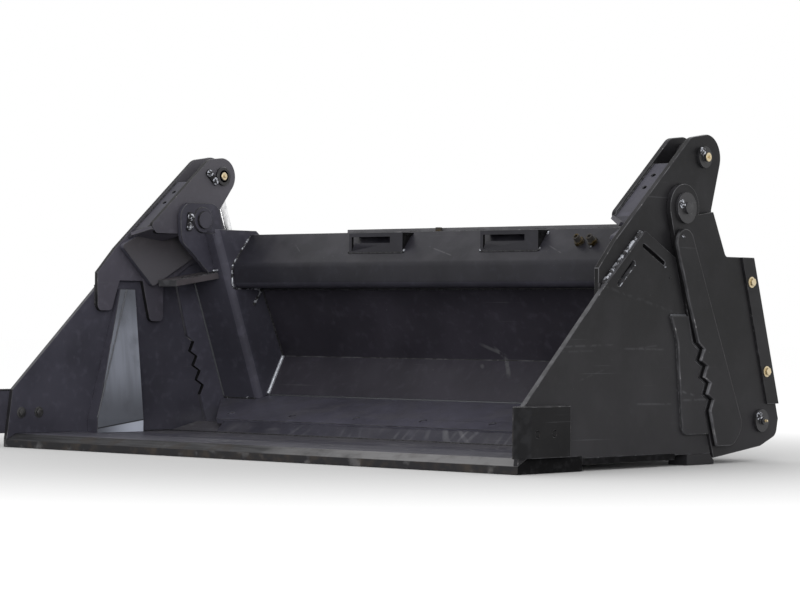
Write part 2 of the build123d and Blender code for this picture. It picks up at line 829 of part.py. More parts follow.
nodes["heel_beam"] = slab(heel_outer, -end_in, end_in) - heel_hollow

# Rear frame: end plate bent round into the wall in front of each cylinder
wall_foot = at_back(LIP_EDGE, REAR_FLOOR_END, REAR_FLOOR_END[0] - WALL_SETBACK)
wall_peak = at_height(wall_foot, WALL_TOP, beam_top[1] + END_STAND)
end_top_back = move(beam_top, (END_REACH, END_STAND))
end_face = rounded(
    outline(
        wall_foot,
        wall_peak,
        end_top_back,
        move(end_top_back, (END_SLOPE, -END_STAND)),
        (rear_line(beam_top[1]), beam_top[1]),
        REAR_FOOT,
        HEEL_CORNER,
        HEEL_BOTTOM,
        (heel_front[0] + REAR_FLOOR_T, HEEL_BOTTOM[1]),
        (REAR_FLOOR_END[0] + REAR_FLOOR_T, REAR_FLOOR_END[1] - REAR_FLOOR_T),
        REAR_FLOOR_END,
    ),
    [(HEEL_CORNER, HEEL_ROUND)],
)
wall_along = unit(wall_foot, wall_peak)
wall_plane = Plane(origin=(0, *wall_foot), x_dir=(1, 0, 0), z_dir=(0, *wall_along))


def bent_section(reach):
    """Section across the wall: it leaves the end plate round a bend and runs out to a reach."""
    bend_centre = (end_in + WALL_BEND_R, WALL_BEND_R)
    inside_centre = (end_out + WALL_BEND_IN_R, WALL_T + WALL_BEND_IN_R)
    bend_start = (end_in, WALL_BEND_R)
    bend_end = (bend_centre[0], 0)
    inside_start = (inside_centre[0], WALL_T)
    inside_end = (end_out, inside_centre[1])
    return outline(
        (end_in, 2 * WALL_BEND_R),
        bend_start,
        arc(bend_centre, bend_start, bend_end),
        (reach, 0),
        (reach, WALL_T),
        inside_start,
        arc(inside_centre, inside_start, inside_end),
        (end_out, 2 * WALL_BEND_R),
    )


def wall_length(section, length):
    """Part of the column with a section across the wall, from below the floor up to a length."""
    return extrude(wall_plane.offset(-WALL_BEND_R) * section, length + WALL_BEND_R)


column_room = slab(end_face, end_in, frame_in)
bend_room = make_face(
    Polyline((end_in, 0), (end_out, 0), (end_out, WALL_BEND_R), (end_in, WALL_BEND_R), close=True)
)
full_length = math.dist(wall_foot, wall_peak) + WALL_BEND_R
end_plate = slab(end_face, end_in, end_out) - wall_length(bend_room, full_length)
end_plate += wall_length(bent_section(ear_in), full_length) & column_room
end_plate += wall_length(bent_section(frame_in), math.dist(wall_foot, WALL_TOP)) & column_room
boss_room = disc(PIVOT, PIVOT_BOSS_R + BOSS_CLEAR, end_out, ear_in)
tube_holes = [disc(point, TUBE_R + TUBE_HOLE_GAP, end_in, end_out) for point in TUBES]
end_plate = end_plate - frame_holes - tube_holes - boss_room
pair("end_plate", end_plate)

# Rear frame: cap on each column, and the pivot ear that stands on the cap
cap_along = (math.cos(math.radians(CAP_TILT)), math.sin(math.radians(CAP_TILT)))
cap_end = move(CAP_FRONT, cap_along, CAP_LENGTH)
cap_in = ear_in - CAP_OVERHANG
column_cap = slab(strip(CAP_FRONT, cap_end, CAP_T), cap_in, arm_in - CAP_CLEAR) - end_plate
group("column_caps", [column_cap])

ear_chin = move(PIVOT, EAR_CHIN)
ear_crown = move(PIVOT, EAR_CROWN)
ear_back = move(PIVOT, EAR_BACK)
ear_face = rounded(
    outline(
        ear_chin,
        ear_crown,
        ear_back,
        move(PIVOT, EAR_NAPE),
        cap_end,
        at_back(CAP_FRONT, cap_end, EAR_ROOT),
    ),
    [(ear_crown, EAR_ROUND), (ear_back, EAR_BACK_ROUND), (ear_chin, EAR_ROUND)],
)
ear = slab(ear_face, ear_in, ear_out)
ear += disc(PIVOT, PIVOT_BOSS_R, ear_in - PIVOT_BOSS_T, ear_in)
pair("pivot_ear", ear - frame_holes)

# Rear frame: pins with their heads, spacers and keepers
head_face = frame_out + PIN_HEAD_T
pivot_pin = disc(PIVOT, PIVOT_R, ear_in - PIVOT_BOSS_T - PIN_END, frame_out)
pivot_pin += disc(PIVOT, PIVOT_HEAD_R, frame_out, head_face)
pivot_pin += disc(PIVOT, PIVOT_STUB_R, head_face, head_face + PIN_END)
pair("pivot_pin", pivot_pin)

base_pin = disc(BASE_PIN, BASE_PIN_R, end_in - PIN_END, frame_out)
base_pin += disc(BASE_PIN, BASE_HEAD_R, frame_out, head_face)
base_pin += disc(BASE_PIN, BASE_STUB_R, head_face, head_face + PIN_END)
base_pin += disc(BASE_PIN, BASE_SPACER_R, end_out, cylinder_x - EYE_WIDTH / 2 - RUN_GAP)
group("base_pins", [base_pin])

# Rear frame: guard behind each cylinder
flange_face = outline(
    (rear_line(REAR_TOP[1]) - GUARD_FLANGE, REAR_TOP[1]),
    (rear_line(REAR_TOP[1]) + SHELL_GAP + GUARD_T, REAR_TOP[1]),
    (rear_line(GUARD_BOTTOM) + SHELL_GAP + GUARD_T, GUARD_BOTTOM),
    (rear_line(GUARD_BOTTOM) - GUARD_FLANGE, GUARD_BOTTOM),
)
panel_face = outline(
    (rear_line(REAR_TOP[1]) + SHELL_GAP, REAR_TOP[1]),
    (rear_line(REAR_TOP[1]) + SHELL_GAP + GUARD_T, REAR_TOP[1]),
    (rear_line(GUARD_BOTTOM) + SHELL_GAP + GUARD_T, GUARD_BOTTOM),
    (rear_line(GUARD_BOTTOM) + SHELL_GAP, GUARD_BOTTOM),
)
guard = slab(flange_face, frame_out, frame_out + GUARD_T) + slab(panel_face, end_in, frame_out + GUARD_T)
pair("cylinder_guard", guard - guard_holes)

frame_bolts = []
for point in guard_bolt_points:
    bolt = disc(point, GUARD_BOLT_R, frame_in, frame_out + GUARD_T)
    bolt += hexagon(point, GUARD_HEAD_R, frame_out + GUARD_T, frame_out + GUARD_T + GUARD_HEAD_T)
    frame_bolts.append(bolt)
for keeper_at in (move(PIVOT, PIVOT_KEEPER), move(BASE_PIN, BASE_KEEPER)):
    frame_bolts.append(hexagon(keeper_at, KEEPER_R, head_face, head_face + KEEPER_T))
frame_bolts.append(hexagon(move(PIVOT, EAR_KEEPER), KEEPER_R, ear_in - KEEPER_T, ear_in))
frame_bolts.append(disc(BASE_PIN, GREASE_R, head_face + PIN_END, head_face + PIN_END + GREASE_T))
group("frame_bolts", frame_bolts)

# Rear frame: slotted steps on the beam's sloped face, each folded back to it at the top
step_front = BEAM_FOLD[0] + STEP_SETBACK
step_back = step_front + STEP_T
step_top = BEAM_FOLD[1] + STEP_RISE
step_face = outline(
    at_back(BEAM_FOLD, beam_top, step_front),
    (step_front, step_top),
    at_height(BEAM_FOLD, beam_top, step_top),
    at_height(BEAM_FOLD, beam_top, step_top - STEP_T),
    (step_back, step_top - STEP_T),
    at_back(BEAM_FOLD, beam_top, step_back),
)
slot_top = step_top - SLOT_DROP
slot_bottom = slot_top - SLOT_HEIGHT
slot_plane = Plane.XZ.offset(STEP_T - step_front)
steps = []
for step_centre in STEP_CENTRES:
    step_start = step_centre - STEP_WIDTH / 2
    slot_start = step_start + SLOT_MARGIN
    slot_end = slot_start + SLOT_WIDTH
    slot_face = make_face(
        Polyline(
            (slot_start, slot_top),
            (slot_end, slot_top),
            (slot_end, slot_bottom),
            (slot_start + NOTCH_WIDTH, slot_bottom),
            (slot_start, slot_bottom - NOTCH_DEPTH),
            close=True,
        )
    )
    slot_cut = extrude(slot_plane * slot_face, 3 * STEP_T, dir=(0, 1, 0))
    steps.append(slab(step_face, step_start, step_start + STEP_WIDTH) - slot_cut)
nodes["step_plates"] = Compound(children=steps)

# Rear frame: hitch plates with a hook lip and a wedge slot, and the ribs that carry them
hook_root = (hitch_line(HITCH_TOP - HOOK_T) + HITCH_T, HITCH_TOP - HOOK_T)
hitch_face = outline(
    (hitch_line(heel_bottom), heel_bottom),
    (hitch_line(HITCH_TOP), HITCH_TOP),
    (hitch_line(HITCH_TOP) + HITCH_T, HITCH_TOP),
    (hitch_line(HITCH_TOP) + HITCH_T + HOOK_REACH, HITCH_TOP - HOOK_DROP),
    (hitch_line(HITCH_TOP) + HITCH_T + HOOK_REACH, HITCH_TOP - HOOK_DROP - HOOK_T),
    hook_root,
    (hitch_line(LEDGE_TOP) + HITCH_T, LEDGE_TOP),
    (hitch_line(LEDGE_TOP) + HITCH_T + LEDGE_REACH, LEDGE_TOP),
    (hitch_line(LEDGE_TOP) + HITCH_T + LEDGE_REACH, LEDGE_TOP - LEDGE_T),
    (hitch_line(LEDGE_TOP - LEDGE_T) + HITCH_T, LEDGE_TOP - LEDGE_T),
    (hitch_line(heel_bottom) + HITCH_T, heel_bottom),
)
hitch_plate = slab(hitch_face, HITCH_IN, HITCH_OUT)
wedge_at = hitch_line(LEDGE_TOP) + HITCH_T + LEDGE_REACH / 2
wedge_slot = Box(WEDGE_LENGTH, WEDGE_WIDTH, 4 * LEDGE_T)
hitch_plate -= Pos((HITCH_IN + HITCH_OUT) / 2, wedge_at, LEDGE_TOP) * wedge_slot
hitch_plate -= disc(hook_root, HOOK_RELIEF_R, HITCH_IN, HITCH_OUT)
pair("hitch_plate", hitch_plate)

rib_back_face = outline(
    heel_front_top,
    (hitch_line(heel_top), heel_top),
    (hitch_line(BEAM_UNDER[1]), BEAM_UNDER[1]),
    mold_top_back,
    mold_bend_back,
)
hitch_ribs = [
    slab(rib_back_face, rib_x - RIB_T / 2, rib_x + RIB_T / 2) for rib_x in (HITCH_RIB_IN, HITCH_RIB_OUT)
]
group("hitch_ribs", hitch_ribs)

# Rear frame: hydraulic tubes along the beam, and the fittings on its sloped face
tubes = []
for point in TUBES:
    reach = end_out + TUBE_REACH
    tube = disc(point, TUBE_R, -reach, reach) - disc(point, TUBE_R - TUBE_WALL, -reach, reach)
    for side in (-1, 1):
        nut_ends = sorted((side * reach, side * (reach - NUT_T)))
        tube += hexagon(point, NUT_R, *nut_ends) - disc(point, TUBE_R - TUBE_WALL, *nut_ends)
    tubes.append(tube)
nodes["hydraulic_tubes"] = Compound(children=tubes)

beam_rise = unit(BEAM_FOLD, beam_top)
beam_normal = (-beam_rise[1], beam_rise[0])
fitting_at = move(BEAM_FOLD, beam_rise, FITTING_ALONG)
fittings = []
for fitting_x in PORT_FITTINGS:
    seat = Plane(origin=(fitting_x, *fitting_at), x_dir=(1, 0, 0), z_dir=(0, *beam_normal))
    body = extrude(seat * RegularPolygon(FITTING_HEX_R, 6), FITTING_HEX_T)
    body += extrude(seat.offset(FITTING_HEX_T) * Circle(FITTING_STUB_R), FITTING_STUB)
    body -= seat * Pos(0, 0, FITTING_HEX_T + FITTING_STUB / 2) * Cylinder(FITTING_BORE_R, FITTING_STUB)
    fittings.append(body)
plug_seat = Plane(origin=(PLUG_X, *move(beam_top, (PLUG_BACK, 0))), x_dir=(1, 0, 0), z_dir=(0, 0, 1))
fittings.append(extrude(plug_seat * RegularPolygon(PLUG_R, 6), PLUG_T))
nodes["hydraulic_fittings"] = Compound(children=fittings)

# Hydraulic cylinders, drawn along their own axis from the base pin
cylinder_along = unit(BASE_PIN, ROD_PIN)
cylinder_length = math.dist(BASE_PIN, ROD_PIN)
axis = Plane(origin=(cylinder_x, *BASE_PIN), x_dir=(1, 0, 0), z_dir=(0, *cylinder_along))


def bar(radius, start, end):
    """Round bar along the cylinder's axis, between two distances from the base pin."""
    return extrude(axis.offset(start) * Circle(radius), end - start)


barrel_base = BASE_SPACER_R + SPACER_CLEAR
barrel_foot = barrel_base + BARREL_FLOOR
barrel = bar(BARREL_R, barrel_base, BARREL_TOP)
barrel += disc(BASE_PIN, BASE_EYE_R, cylinder_x - EYE_WIDTH / 2, cylinder_x + EYE_WIDTH / 2)
barrel -= bar(BORE_R, barrel_foot, BARREL_TOP)
barrel -= disc(BASE_PIN, BASE_PIN_R + FIT, cylinder_x - EYE_WIDTH, cylinder_x + EYE_WIDTH)
for along in (barrel_foot + PORT_INSET, BARREL_TOP - PORT_INSET):
    port_at = (axis * Pos(0, 0, along)).position
    port_point = (port_at.Y, port_at.Z)
    port_end = cylinder_x - BARREL_R - PORT_REACH
    boss = disc(port_point, PORT_R, port_end, cylinder_x) - bar(BARREL_R, 0, BARREL_TOP)
    barrel += boss
    barrel -= disc(port_point, PORT_HOLE_R, port_end, cylinder_x)
pair("barrel", barrel)

gland = bar(BARREL_R, BARREL_TOP, BARREL_TOP + GLAND_T)
gland += bar(BORE_R - FIT, BARREL_TOP - GLAND_SPIGOT, BARREL_TOP)
gland -= bar(ROD_R + FIT, BARREL_TOP - GLAND_SPIGOT, BARREL_TOP + GLAND_T)
pair("gland", gland)

piston_top = BARREL_TOP - GLAND_SPIGOT - PISTON_SEAT
piston = bar(BORE_R - SHELL_GAP, piston_top - PISTON_T, piston_top)
piston -= bar(ROD_R + FIT, piston_top - PISTON_T, piston_top)
pair("piston", piston)

rod_eye = disc(ROD_PIN, ROD_EYE_R, cylinder_x - ROD_EYE_WIDTH / 2, cylinder_x + ROD_EYE_WIDTH / 2)
rod = bar(ROD_R, piston_top - PISTON_T - ROD_TAIL, cylinder_length)
rod -= disc(ROD_PIN, ROD_EYE_R, cylinder_x - EYE_WIDTH, cylinder_x + EYE_WIDTH)
pair("piston_rod", rod)
pair("rod_eye", rod_eye - disc(ROD_PIN, ROD_EYE_BORE_R, cylinder_x - EYE_WIDTH, cylinder_x + EYE_WIDTH))

# Origin at the bottom centre of the whole box, then one file per node
boxes = [piece.bounding_box() for piece in nodes.values()]
front = min(box.min.Y for box in boxes)
back = max(box.max.Y for box in boxes)
bottom = min(box.min.Z for box in boxes)
shift = Pos(0, -(front + back) / 2, -bottom)
os.makedirs("parts", exist_ok=True)
for name, piece in nodes.items():
    export_step(shift * piece, os.path.join("parts", name + ".step"))

print("nodes", len(nodes))
print("shift", shift.position)
print("cylinder", cylinder_x, cylinder_along, cylinder_length)
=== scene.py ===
"""Paint, welds, fasteners and studio for the combination bucket.

Places are written as on the bucket's drawing, in millimetres: x across from the middle, y back from
the tip of the front cutting edge, z up from that tip. spot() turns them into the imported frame.
"""
import json
import math

import bpy
from mathutils import Matrix, Vector

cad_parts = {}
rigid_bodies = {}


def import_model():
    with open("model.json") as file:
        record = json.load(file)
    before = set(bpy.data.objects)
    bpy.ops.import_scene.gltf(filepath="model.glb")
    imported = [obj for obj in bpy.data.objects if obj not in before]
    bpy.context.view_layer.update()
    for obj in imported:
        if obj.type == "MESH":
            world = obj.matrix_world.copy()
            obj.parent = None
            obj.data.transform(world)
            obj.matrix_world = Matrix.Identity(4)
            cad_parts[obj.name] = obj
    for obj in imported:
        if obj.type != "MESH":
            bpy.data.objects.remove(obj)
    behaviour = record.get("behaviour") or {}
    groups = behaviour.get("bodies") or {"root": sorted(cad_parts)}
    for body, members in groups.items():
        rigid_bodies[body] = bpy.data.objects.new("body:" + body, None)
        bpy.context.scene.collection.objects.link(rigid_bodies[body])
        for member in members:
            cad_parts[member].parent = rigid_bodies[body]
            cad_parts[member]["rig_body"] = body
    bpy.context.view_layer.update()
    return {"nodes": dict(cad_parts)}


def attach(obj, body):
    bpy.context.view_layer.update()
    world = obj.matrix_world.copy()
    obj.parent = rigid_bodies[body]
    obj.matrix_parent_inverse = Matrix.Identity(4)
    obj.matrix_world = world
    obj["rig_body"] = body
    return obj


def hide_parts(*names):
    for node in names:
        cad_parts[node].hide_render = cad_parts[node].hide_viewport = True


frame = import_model()

bl_info = {
    "name": "Combination bucket",
    "version": (1, 0, 0),
    "blender": (4, 5, 0),
    "location": "View3D > Sidebar > Bucket",
    "description": "Dresses the packed bucket with paint, welds and fasteners and sets up its studio",
    "category": "Object",
}

# Places on the drawing, in millimetres
DRAWING_FRONT = 541.526
GROUND = -12.0
PIVOT = (667.0, 648.0)
ROD_PIN = (766.0, 783.0)
BASE_PIN = (1010.0, 96.0)
SIDE_OUT = 940.0
SIDE_IN = 926.0
ARM_IN = 912.0
TANG_OUT = 860.0
TANG_IN = 846.0
EAR_IN = 828.0
END_IN = 775.0
FRAME_OUT = 940.5
RIB_OUT = 956.5
HEAD_FACE = 948.5
ROD_HEAD_FACE = 934.0
ROD_PIN_END = 942.0
CUTTER_OUT = 958.0
TEETH_FOOT = 100.0
TEETH_TOP = 290.0

# Limits of faces that have a finish of their own
EDGE_FOOT = 150.0
EDGE_BACK = 520.0
RIM_TOP = 520.0
RIM_FRONT = 590.0
ARM_RIM_FOOT = 565.0
BEND_TOP = 480.0
TAIL_OUT = 900.0
TAIL_TOP = 660.0

# Bolts of a guard in x, y and z, and of a side cutter in y and z
GUARD_BOLTS = ((946.5, 957.9, 462), (946.5, 1030.3, 226))
CUTTER_BOLTS = ((53, 84), (118, 84))
# Keeper bolts on the pins' heads, and keeper bolts and bars on the ears and the arms, in y and z
PIVOT_KEEPER = (PIVOT[0] - 24, PIVOT[1] + 10)
BASE_KEEPER = (BASE_PIN[0] - 16, BASE_PIN[1] + 13)
ROD_KEEPER = (ROD_PIN[0] - 17, ROD_PIN[1] + 14)
EAR_KEEPERS = ((PIVOT[0] - 53, PIVOT[1] + 8), (PIVOT[0] - 57, PIVOT[1] - 20))
EAR_BAR = (PIVOT[0] - 55, PIVOT[1] - 6)
EAR_BAR_RUN = (4, 28)
TANG_KEEPERS = ((709, 789), (733, 767))
TANG_BAR = (721, 778)
TANG_BAR_RUN = (24, -22)
# Along x: ends of the steps, starts of the welds on the bar, their length, and edges of a hitch plate
STEP_CORNERS = (-326, -118, 169, 377)
BAR_WELDS = (-380, -160, 80, 300, 520, 700)
BAR_WELD_LENGTH = 40
HITCH_EDGES = (150, 560)
# Keeper bar's length, width and thickness, and height of a rod pin's collar, in millimetres
KEEPER_BAR = (56.0, 20.0, 5.0)
COLLAR = 8.0
# Heads of the bolts: height and thickness of the washer. A cutter nut has its radius before them.
GUARD_HEAD = (7.0, 2.0)
KEEPER_HEAD = (6.0, 1.6)
CUTTER_NUT = (12.0, 6.4, 1.6)
# Turned details: rings of radius and height, in a grease fitting's case the share of its height
CAP_RINGS = ((11.6, 0), (11.6, 1.6), (10.4, 2.6), (5.0, 2.6), (4.4, 1.8))
COLLAR_RINGS = ((28, 0), (28, COLLAR - 1.4), (26.4, COLLAR), (13, COLLAR), (12, COLLAR - 0.8))
PLOUGH_RINGS = ((7.9, -31), (7.9, -1.6), (7.0, -0.6), (3.0, -0.5))
GREASE_FOOT = ((4.0, 0), (4.0, 0.34))
GREASE_NECK = ((2.4, 0.34), (2.4, 0.62), (3.1, 0.72), (3.1, 0.84), (1.5, 1.0))
# Turn of the first bolt of a set, in radians; each next one is turned by one more
BOLT_TURN = 0.4

# Marks in the paint: start and end in x, y and z, width, strength
SCRATCH_X = SIDE_OUT + 4
SIDE_SCRATCHES = tuple(
    ((SCRATCH_X, *start), (SCRATCH_X, *end), width, strength)
    for start, end, width, strength in (
        ((343, 441), (632, 379), 7.0, 0.24),
        ((159, 293), (357, 298), 5.7, 0.75),
        ((430, 288), (565, 286), 5.7, 0.75),
        ((166, 281), (277, 283), 5.5, 0.52),
        ((481, 290), (543, 295), 5.5, 0.6),
        ((482, 149), (600, 147), 5.8, 0.83),
        ((630, 182), (686, 171), 6.2, 1.0),
        ((665, 156), (770, 157), 6.0, 0.83),
        ((250, 214), (330, 236), 5.6, 0.38),
    )
)
MOLDBOARD_SCUFFS = (
    ((48, 946, 280), (90, 953, 264), 8.0, 0.8),
    ((90, 953, 264), (112, 958, 236), 9.0, 1.0),
    ((112, 958, 236), (126, 947, 213), 10.0, 1.0),
    ((24, 953, 226), (40, 957, 208), 8.0, 0.7),
)
BEAM_SCRATCHES = (
    ((-26, 781, 562), (66, 761, 538), 2.2, 0.6),
    ((409, 779, 559), (455, 764, 542), 2.2, 0.6),
    ((-560, 790, 573), (-520, 770, 549), 2.0, 0.4),
)
# Middles of the swirls on the floor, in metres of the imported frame
SWIRL_CENTRES = ((-0.35, -0.9, 0.0), (-0.75, 0.5, 0.0), (0.5, 0.75, 0.0))
# Distance from the middle up to which a strap's front edge is painted near-black as the shade in the parting
# gap, in metres
GAP_SHADE_ROOT = 0.9485

# Bent foot of an arm's inner plate: triangle at the web's end and sloping sheet, in x, y and z
ARM_ACROSS = (0.6526, -0.7577)
ARM_FOOT = ((861, 475, 620), (911, 475, 620), (911, 443, 592))
ARM_SHEET = ((846, 478, 616), (846, 600, 602), (898, 565, 582), (898, 443, 596))
SHEET_NORMAL = (0.417, 0.104, 0.903)
SHEET_THICKNESS = 0.012
# Ends of the steps: x of the right ends, and the triangle between step and beam in y and z, closed by a thin
# dark sheet that paints the shade in the open end
STEP_ENDS = (-121.0, 374.0)
STEP_END = ((770, 550), (770, 602), (813, 602))
STEP_END_THICKNESS = 0.002
# Dirt on the rear lip before the rear floor: span in x, section in y and z, unevenness in metres
DIRT_SPAN = (-738.0, 770.0)
DIRT_SECTION = ((646, 22.6), (677, 29.5), (677, 53.0), (672, 51.0))
DIRT_CUTS = 12
DIRT_WAVER = 0.0006

# Seam over the gusset's foot, in metres: slope, y at which its height is given, lower and upper rim
SEAM_SLOPE = 0.12
SEAM_BACK = 0.303
SEAM = (0.0455, 0.0475)

# Ripple of a weld bead as shares of its radius and length: points round it, neck, height of the swell
RIPPLE_POINTS = 8
RIPPLE_NECK = 0.8
RIPPLE_SWELL = 0.6

# Distances and angles for clean meshes
START_RADIUS = 0.05
MERGE_DISTANCE = 0.00002
RIPPLE_MERGE = 0.00005
BAR_ROUND = 0.0006
FLAT_ANGLE = math.radians(0.6)
BEVEL_ANGLE = math.radians(40)
PLATE_SMOOTH = math.radians(38)
DETAIL_SMOOTH = math.radians(35)

# Studio: sensor in millimetres, the rest in metres; a lamp has a name, place, size and power
SENSOR = 36.0
CAMERA_REACH = 200.0
FLOOR_SIDE = 60.0
FLOOR_LEVEL = -0.0006
# The floor's glow fades out towards the bucket over this span, which paints a soft shadow round it.
GLOW_SPAN = (0.7, 2.9)
LAMP_TARGET = (0, 0, 0.4)
LAMPS = (
    ("behind_camera", (6.2, -6.4, 2.2), 4.0, 300.0),
    ("overhead_back", (-0.6, 3.4, 4.0), 3.0, 50.0),
)


def spot(x, y, z):
    """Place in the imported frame, in metres, of a place on the drawing."""
    return Vector((x, y - DRAWING_FRONT, z - GROUND)) / 1000


def spots(places, side=1):
    """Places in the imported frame, as written or, with side -1, on the other side."""
    return [spot(side * x, y, z) for x, y, z in places]


class BucketSizes(bpy.types.PropertyGroup):
    """Sizes of the softened edges, welds and fasteners."""

    edge_round: bpy.props.FloatProperty(
        name="Edge rounding",
        description="Width of the rounding on the edges of the plates",
        default=0.0016,
        unit="LENGTH",
    )
    fine_round: bpy.props.FloatProperty(
        name="Fine rounding",
        description="Width of the rounding on pins, tubes and fittings",
        default=0.0007,
        unit="LENGTH",
    )
    weld_pitch: bpy.props.FloatProperty(
        name="Weld pitch",
        description="Distance from one ripple of a weld bead to the next",
        default=0.0065,
        unit="LENGTH",
    )
    weld_waver: bpy.props.FloatProperty(
        name="Weld waver",
        description="How far a bead's points stray, as a share of its radius",
        default=0.16,
        subtype="FACTOR",
    )
    guard_bolt: bpy.props.FloatProperty(
        name="Guard bolt",
        description="Radius of the guard bolts' heads over their corners",
        default=0.0108,
        unit="LENGTH",
    )
    keeper_bolt: bpy.props.FloatProperty(
        name="Keeper bolt",
        description="Radius of the pin keepers' bolt heads over their corners",
        default=0.0085,
        unit="LENGTH",
    )
    grease_height: bpy.props.FloatProperty(
        name="Grease fitting",
        description="Height of the grease fittings on the pins",
        default=0.009,
        unit="LENGTH",
    )


class BucketColours(bpy.types.PropertyGroup):
    """Colours of the finishes."""

    paint: bpy.props.FloatVectorProperty(
        name="Paint",
        description="Black paint of the plates",
        subtype="COLOR",
        default=(0.0140, 0.0138, 0.0150),
    )
    rubbed: bpy.props.FloatVectorProperty(
        name="Rubbed paint",
        description="Paint that is worn thin along edges and scratches",
        subtype="COLOR",
        default=(0.085, 0.085, 0.092),
    )
    dust: bpy.props.FloatVectorProperty(
        name="Dust",
        description="Dry dust on faces that look up",
        subtype="COLOR",
        default=(0.080, 0.077, 0.087),
    )
    steel: bpy.props.FloatVectorProperty(
        name="Bare steel",
        description="Steel where the paint is gone",
        subtype="COLOR",
        default=(0.36, 0.355, 0.36),
    )
    rust: bpy.props.FloatVectorProperty(
        name="Rust",
        description="Rust on the bare nose of the cutting edges",
        subtype="COLOR",
        default=(0.044, 0.037, 0.032),
    )
    primer: bpy.props.FloatVectorProperty(
        name="Gusset paint",
        description="Pale blue grey of the corner gussets",
        subtype="COLOR",
        default=(0.218, 0.232, 0.272),
    )
    weld: bpy.props.FloatVectorProperty(
        name="Weld",
        description="Bare weld metal",
        subtype="COLOR",
        default=(0.62, 0.64, 0.7),
    )
    zinc: bpy.props.FloatVectorProperty(
        name="Yellow zinc",
        description="Plating of the bolts and grease fittings",
        subtype="COLOR",
        default=(0.62, 0.5, 0.27),
    )
    brass: bpy.props.FloatVectorProperty(
        name="Brass",
        description="Hydraulic fittings",
        subtype="COLOR",
        default=(0.6, 0.41, 0.13),
    )
    bronze: bpy.props.FloatVectorProperty(
        name="Bronze",
        description="Bushes of the pivots",
        subtype="COLOR",
        default=(0.42, 0.25, 0.11),
    )


class BucketStudio(bpy.types.PropertyGroup):
    """Camera, floor and light."""

    place: bpy.props.FloatVectorProperty(
        name="Camera place",
        description="Where the camera stands",
        subtype="TRANSLATION",
        unit="LENGTH",
        default=(5.2029, -5.737126, 0.3687),
    )
    heading: bpy.props.FloatProperty(
        name="Heading",
        description="How far the camera is turned to the left of straight back",
        subtype="ANGLE",
        default=math.radians(41.7855),
    )
    pitch: bpy.props.FloatProperty(
        name="Pitch",
        description="How far the camera looks up",
        subtype="ANGLE",
        default=math.radians(0.396),
    )
    roll: bpy.props.FloatProperty(
        name="Roll",
        description="How far the camera is tilted on its own axis",
        subtype="ANGLE",
        default=math.radians(0.4499),
    )
    lens: bpy.props.FloatProperty(
        name="Lens",
        description="Focal length on a 36 mm wide sensor, in millimetres",
        default=126.73,
    )
    floor: bpy.props.FloatVectorProperty(
        name="Floor",
        description="Colour of the floor",
        subtype="COLOR",
        default=(0.52, 0.52, 0.52),
    )
    glow: bpy.props.FloatProperty(
        name="Floor glow",
        description="What the far floor gives off to the camera, which keeps it white",
        default=0.45,
    )
    sky: bpy.props.FloatProperty(
        name="Sky",
        description="Strength of the light from all round",
        default=1.05,
    )


class Wire:
    """Socket of a node tree. Arithmetic on it adds Math nodes."""

    def __init__(self, finish, socket):
        self.finish = finish
        self.socket = socket

    def maths(self, operation, first, second):
        """Result of a Math node on two values."""
        return self.finish.node("ShaderNodeMath", {"operation": operation}, {0: first, 1: second})

    def __add__(self, other):
        return self.maths("ADD", self, other)

    def __radd__(self, other):
        return self.maths("ADD", other, self)

    def __sub__(self, other):
        return self.maths("SUBTRACT", self, other)

    def __rsub__(self, other):
        return self.maths("SUBTRACT", other, self)

    def __mul__(self, other):
        return self.maths("MULTIPLY", self, other)

    def __rmul__(self, other):
        return self.maths("MULTIPLY", other, self)

    def __abs__(self):
        return self.finish.node("ShaderNodeMath", {"operation": "ABSOLUTE"}, {0: self})


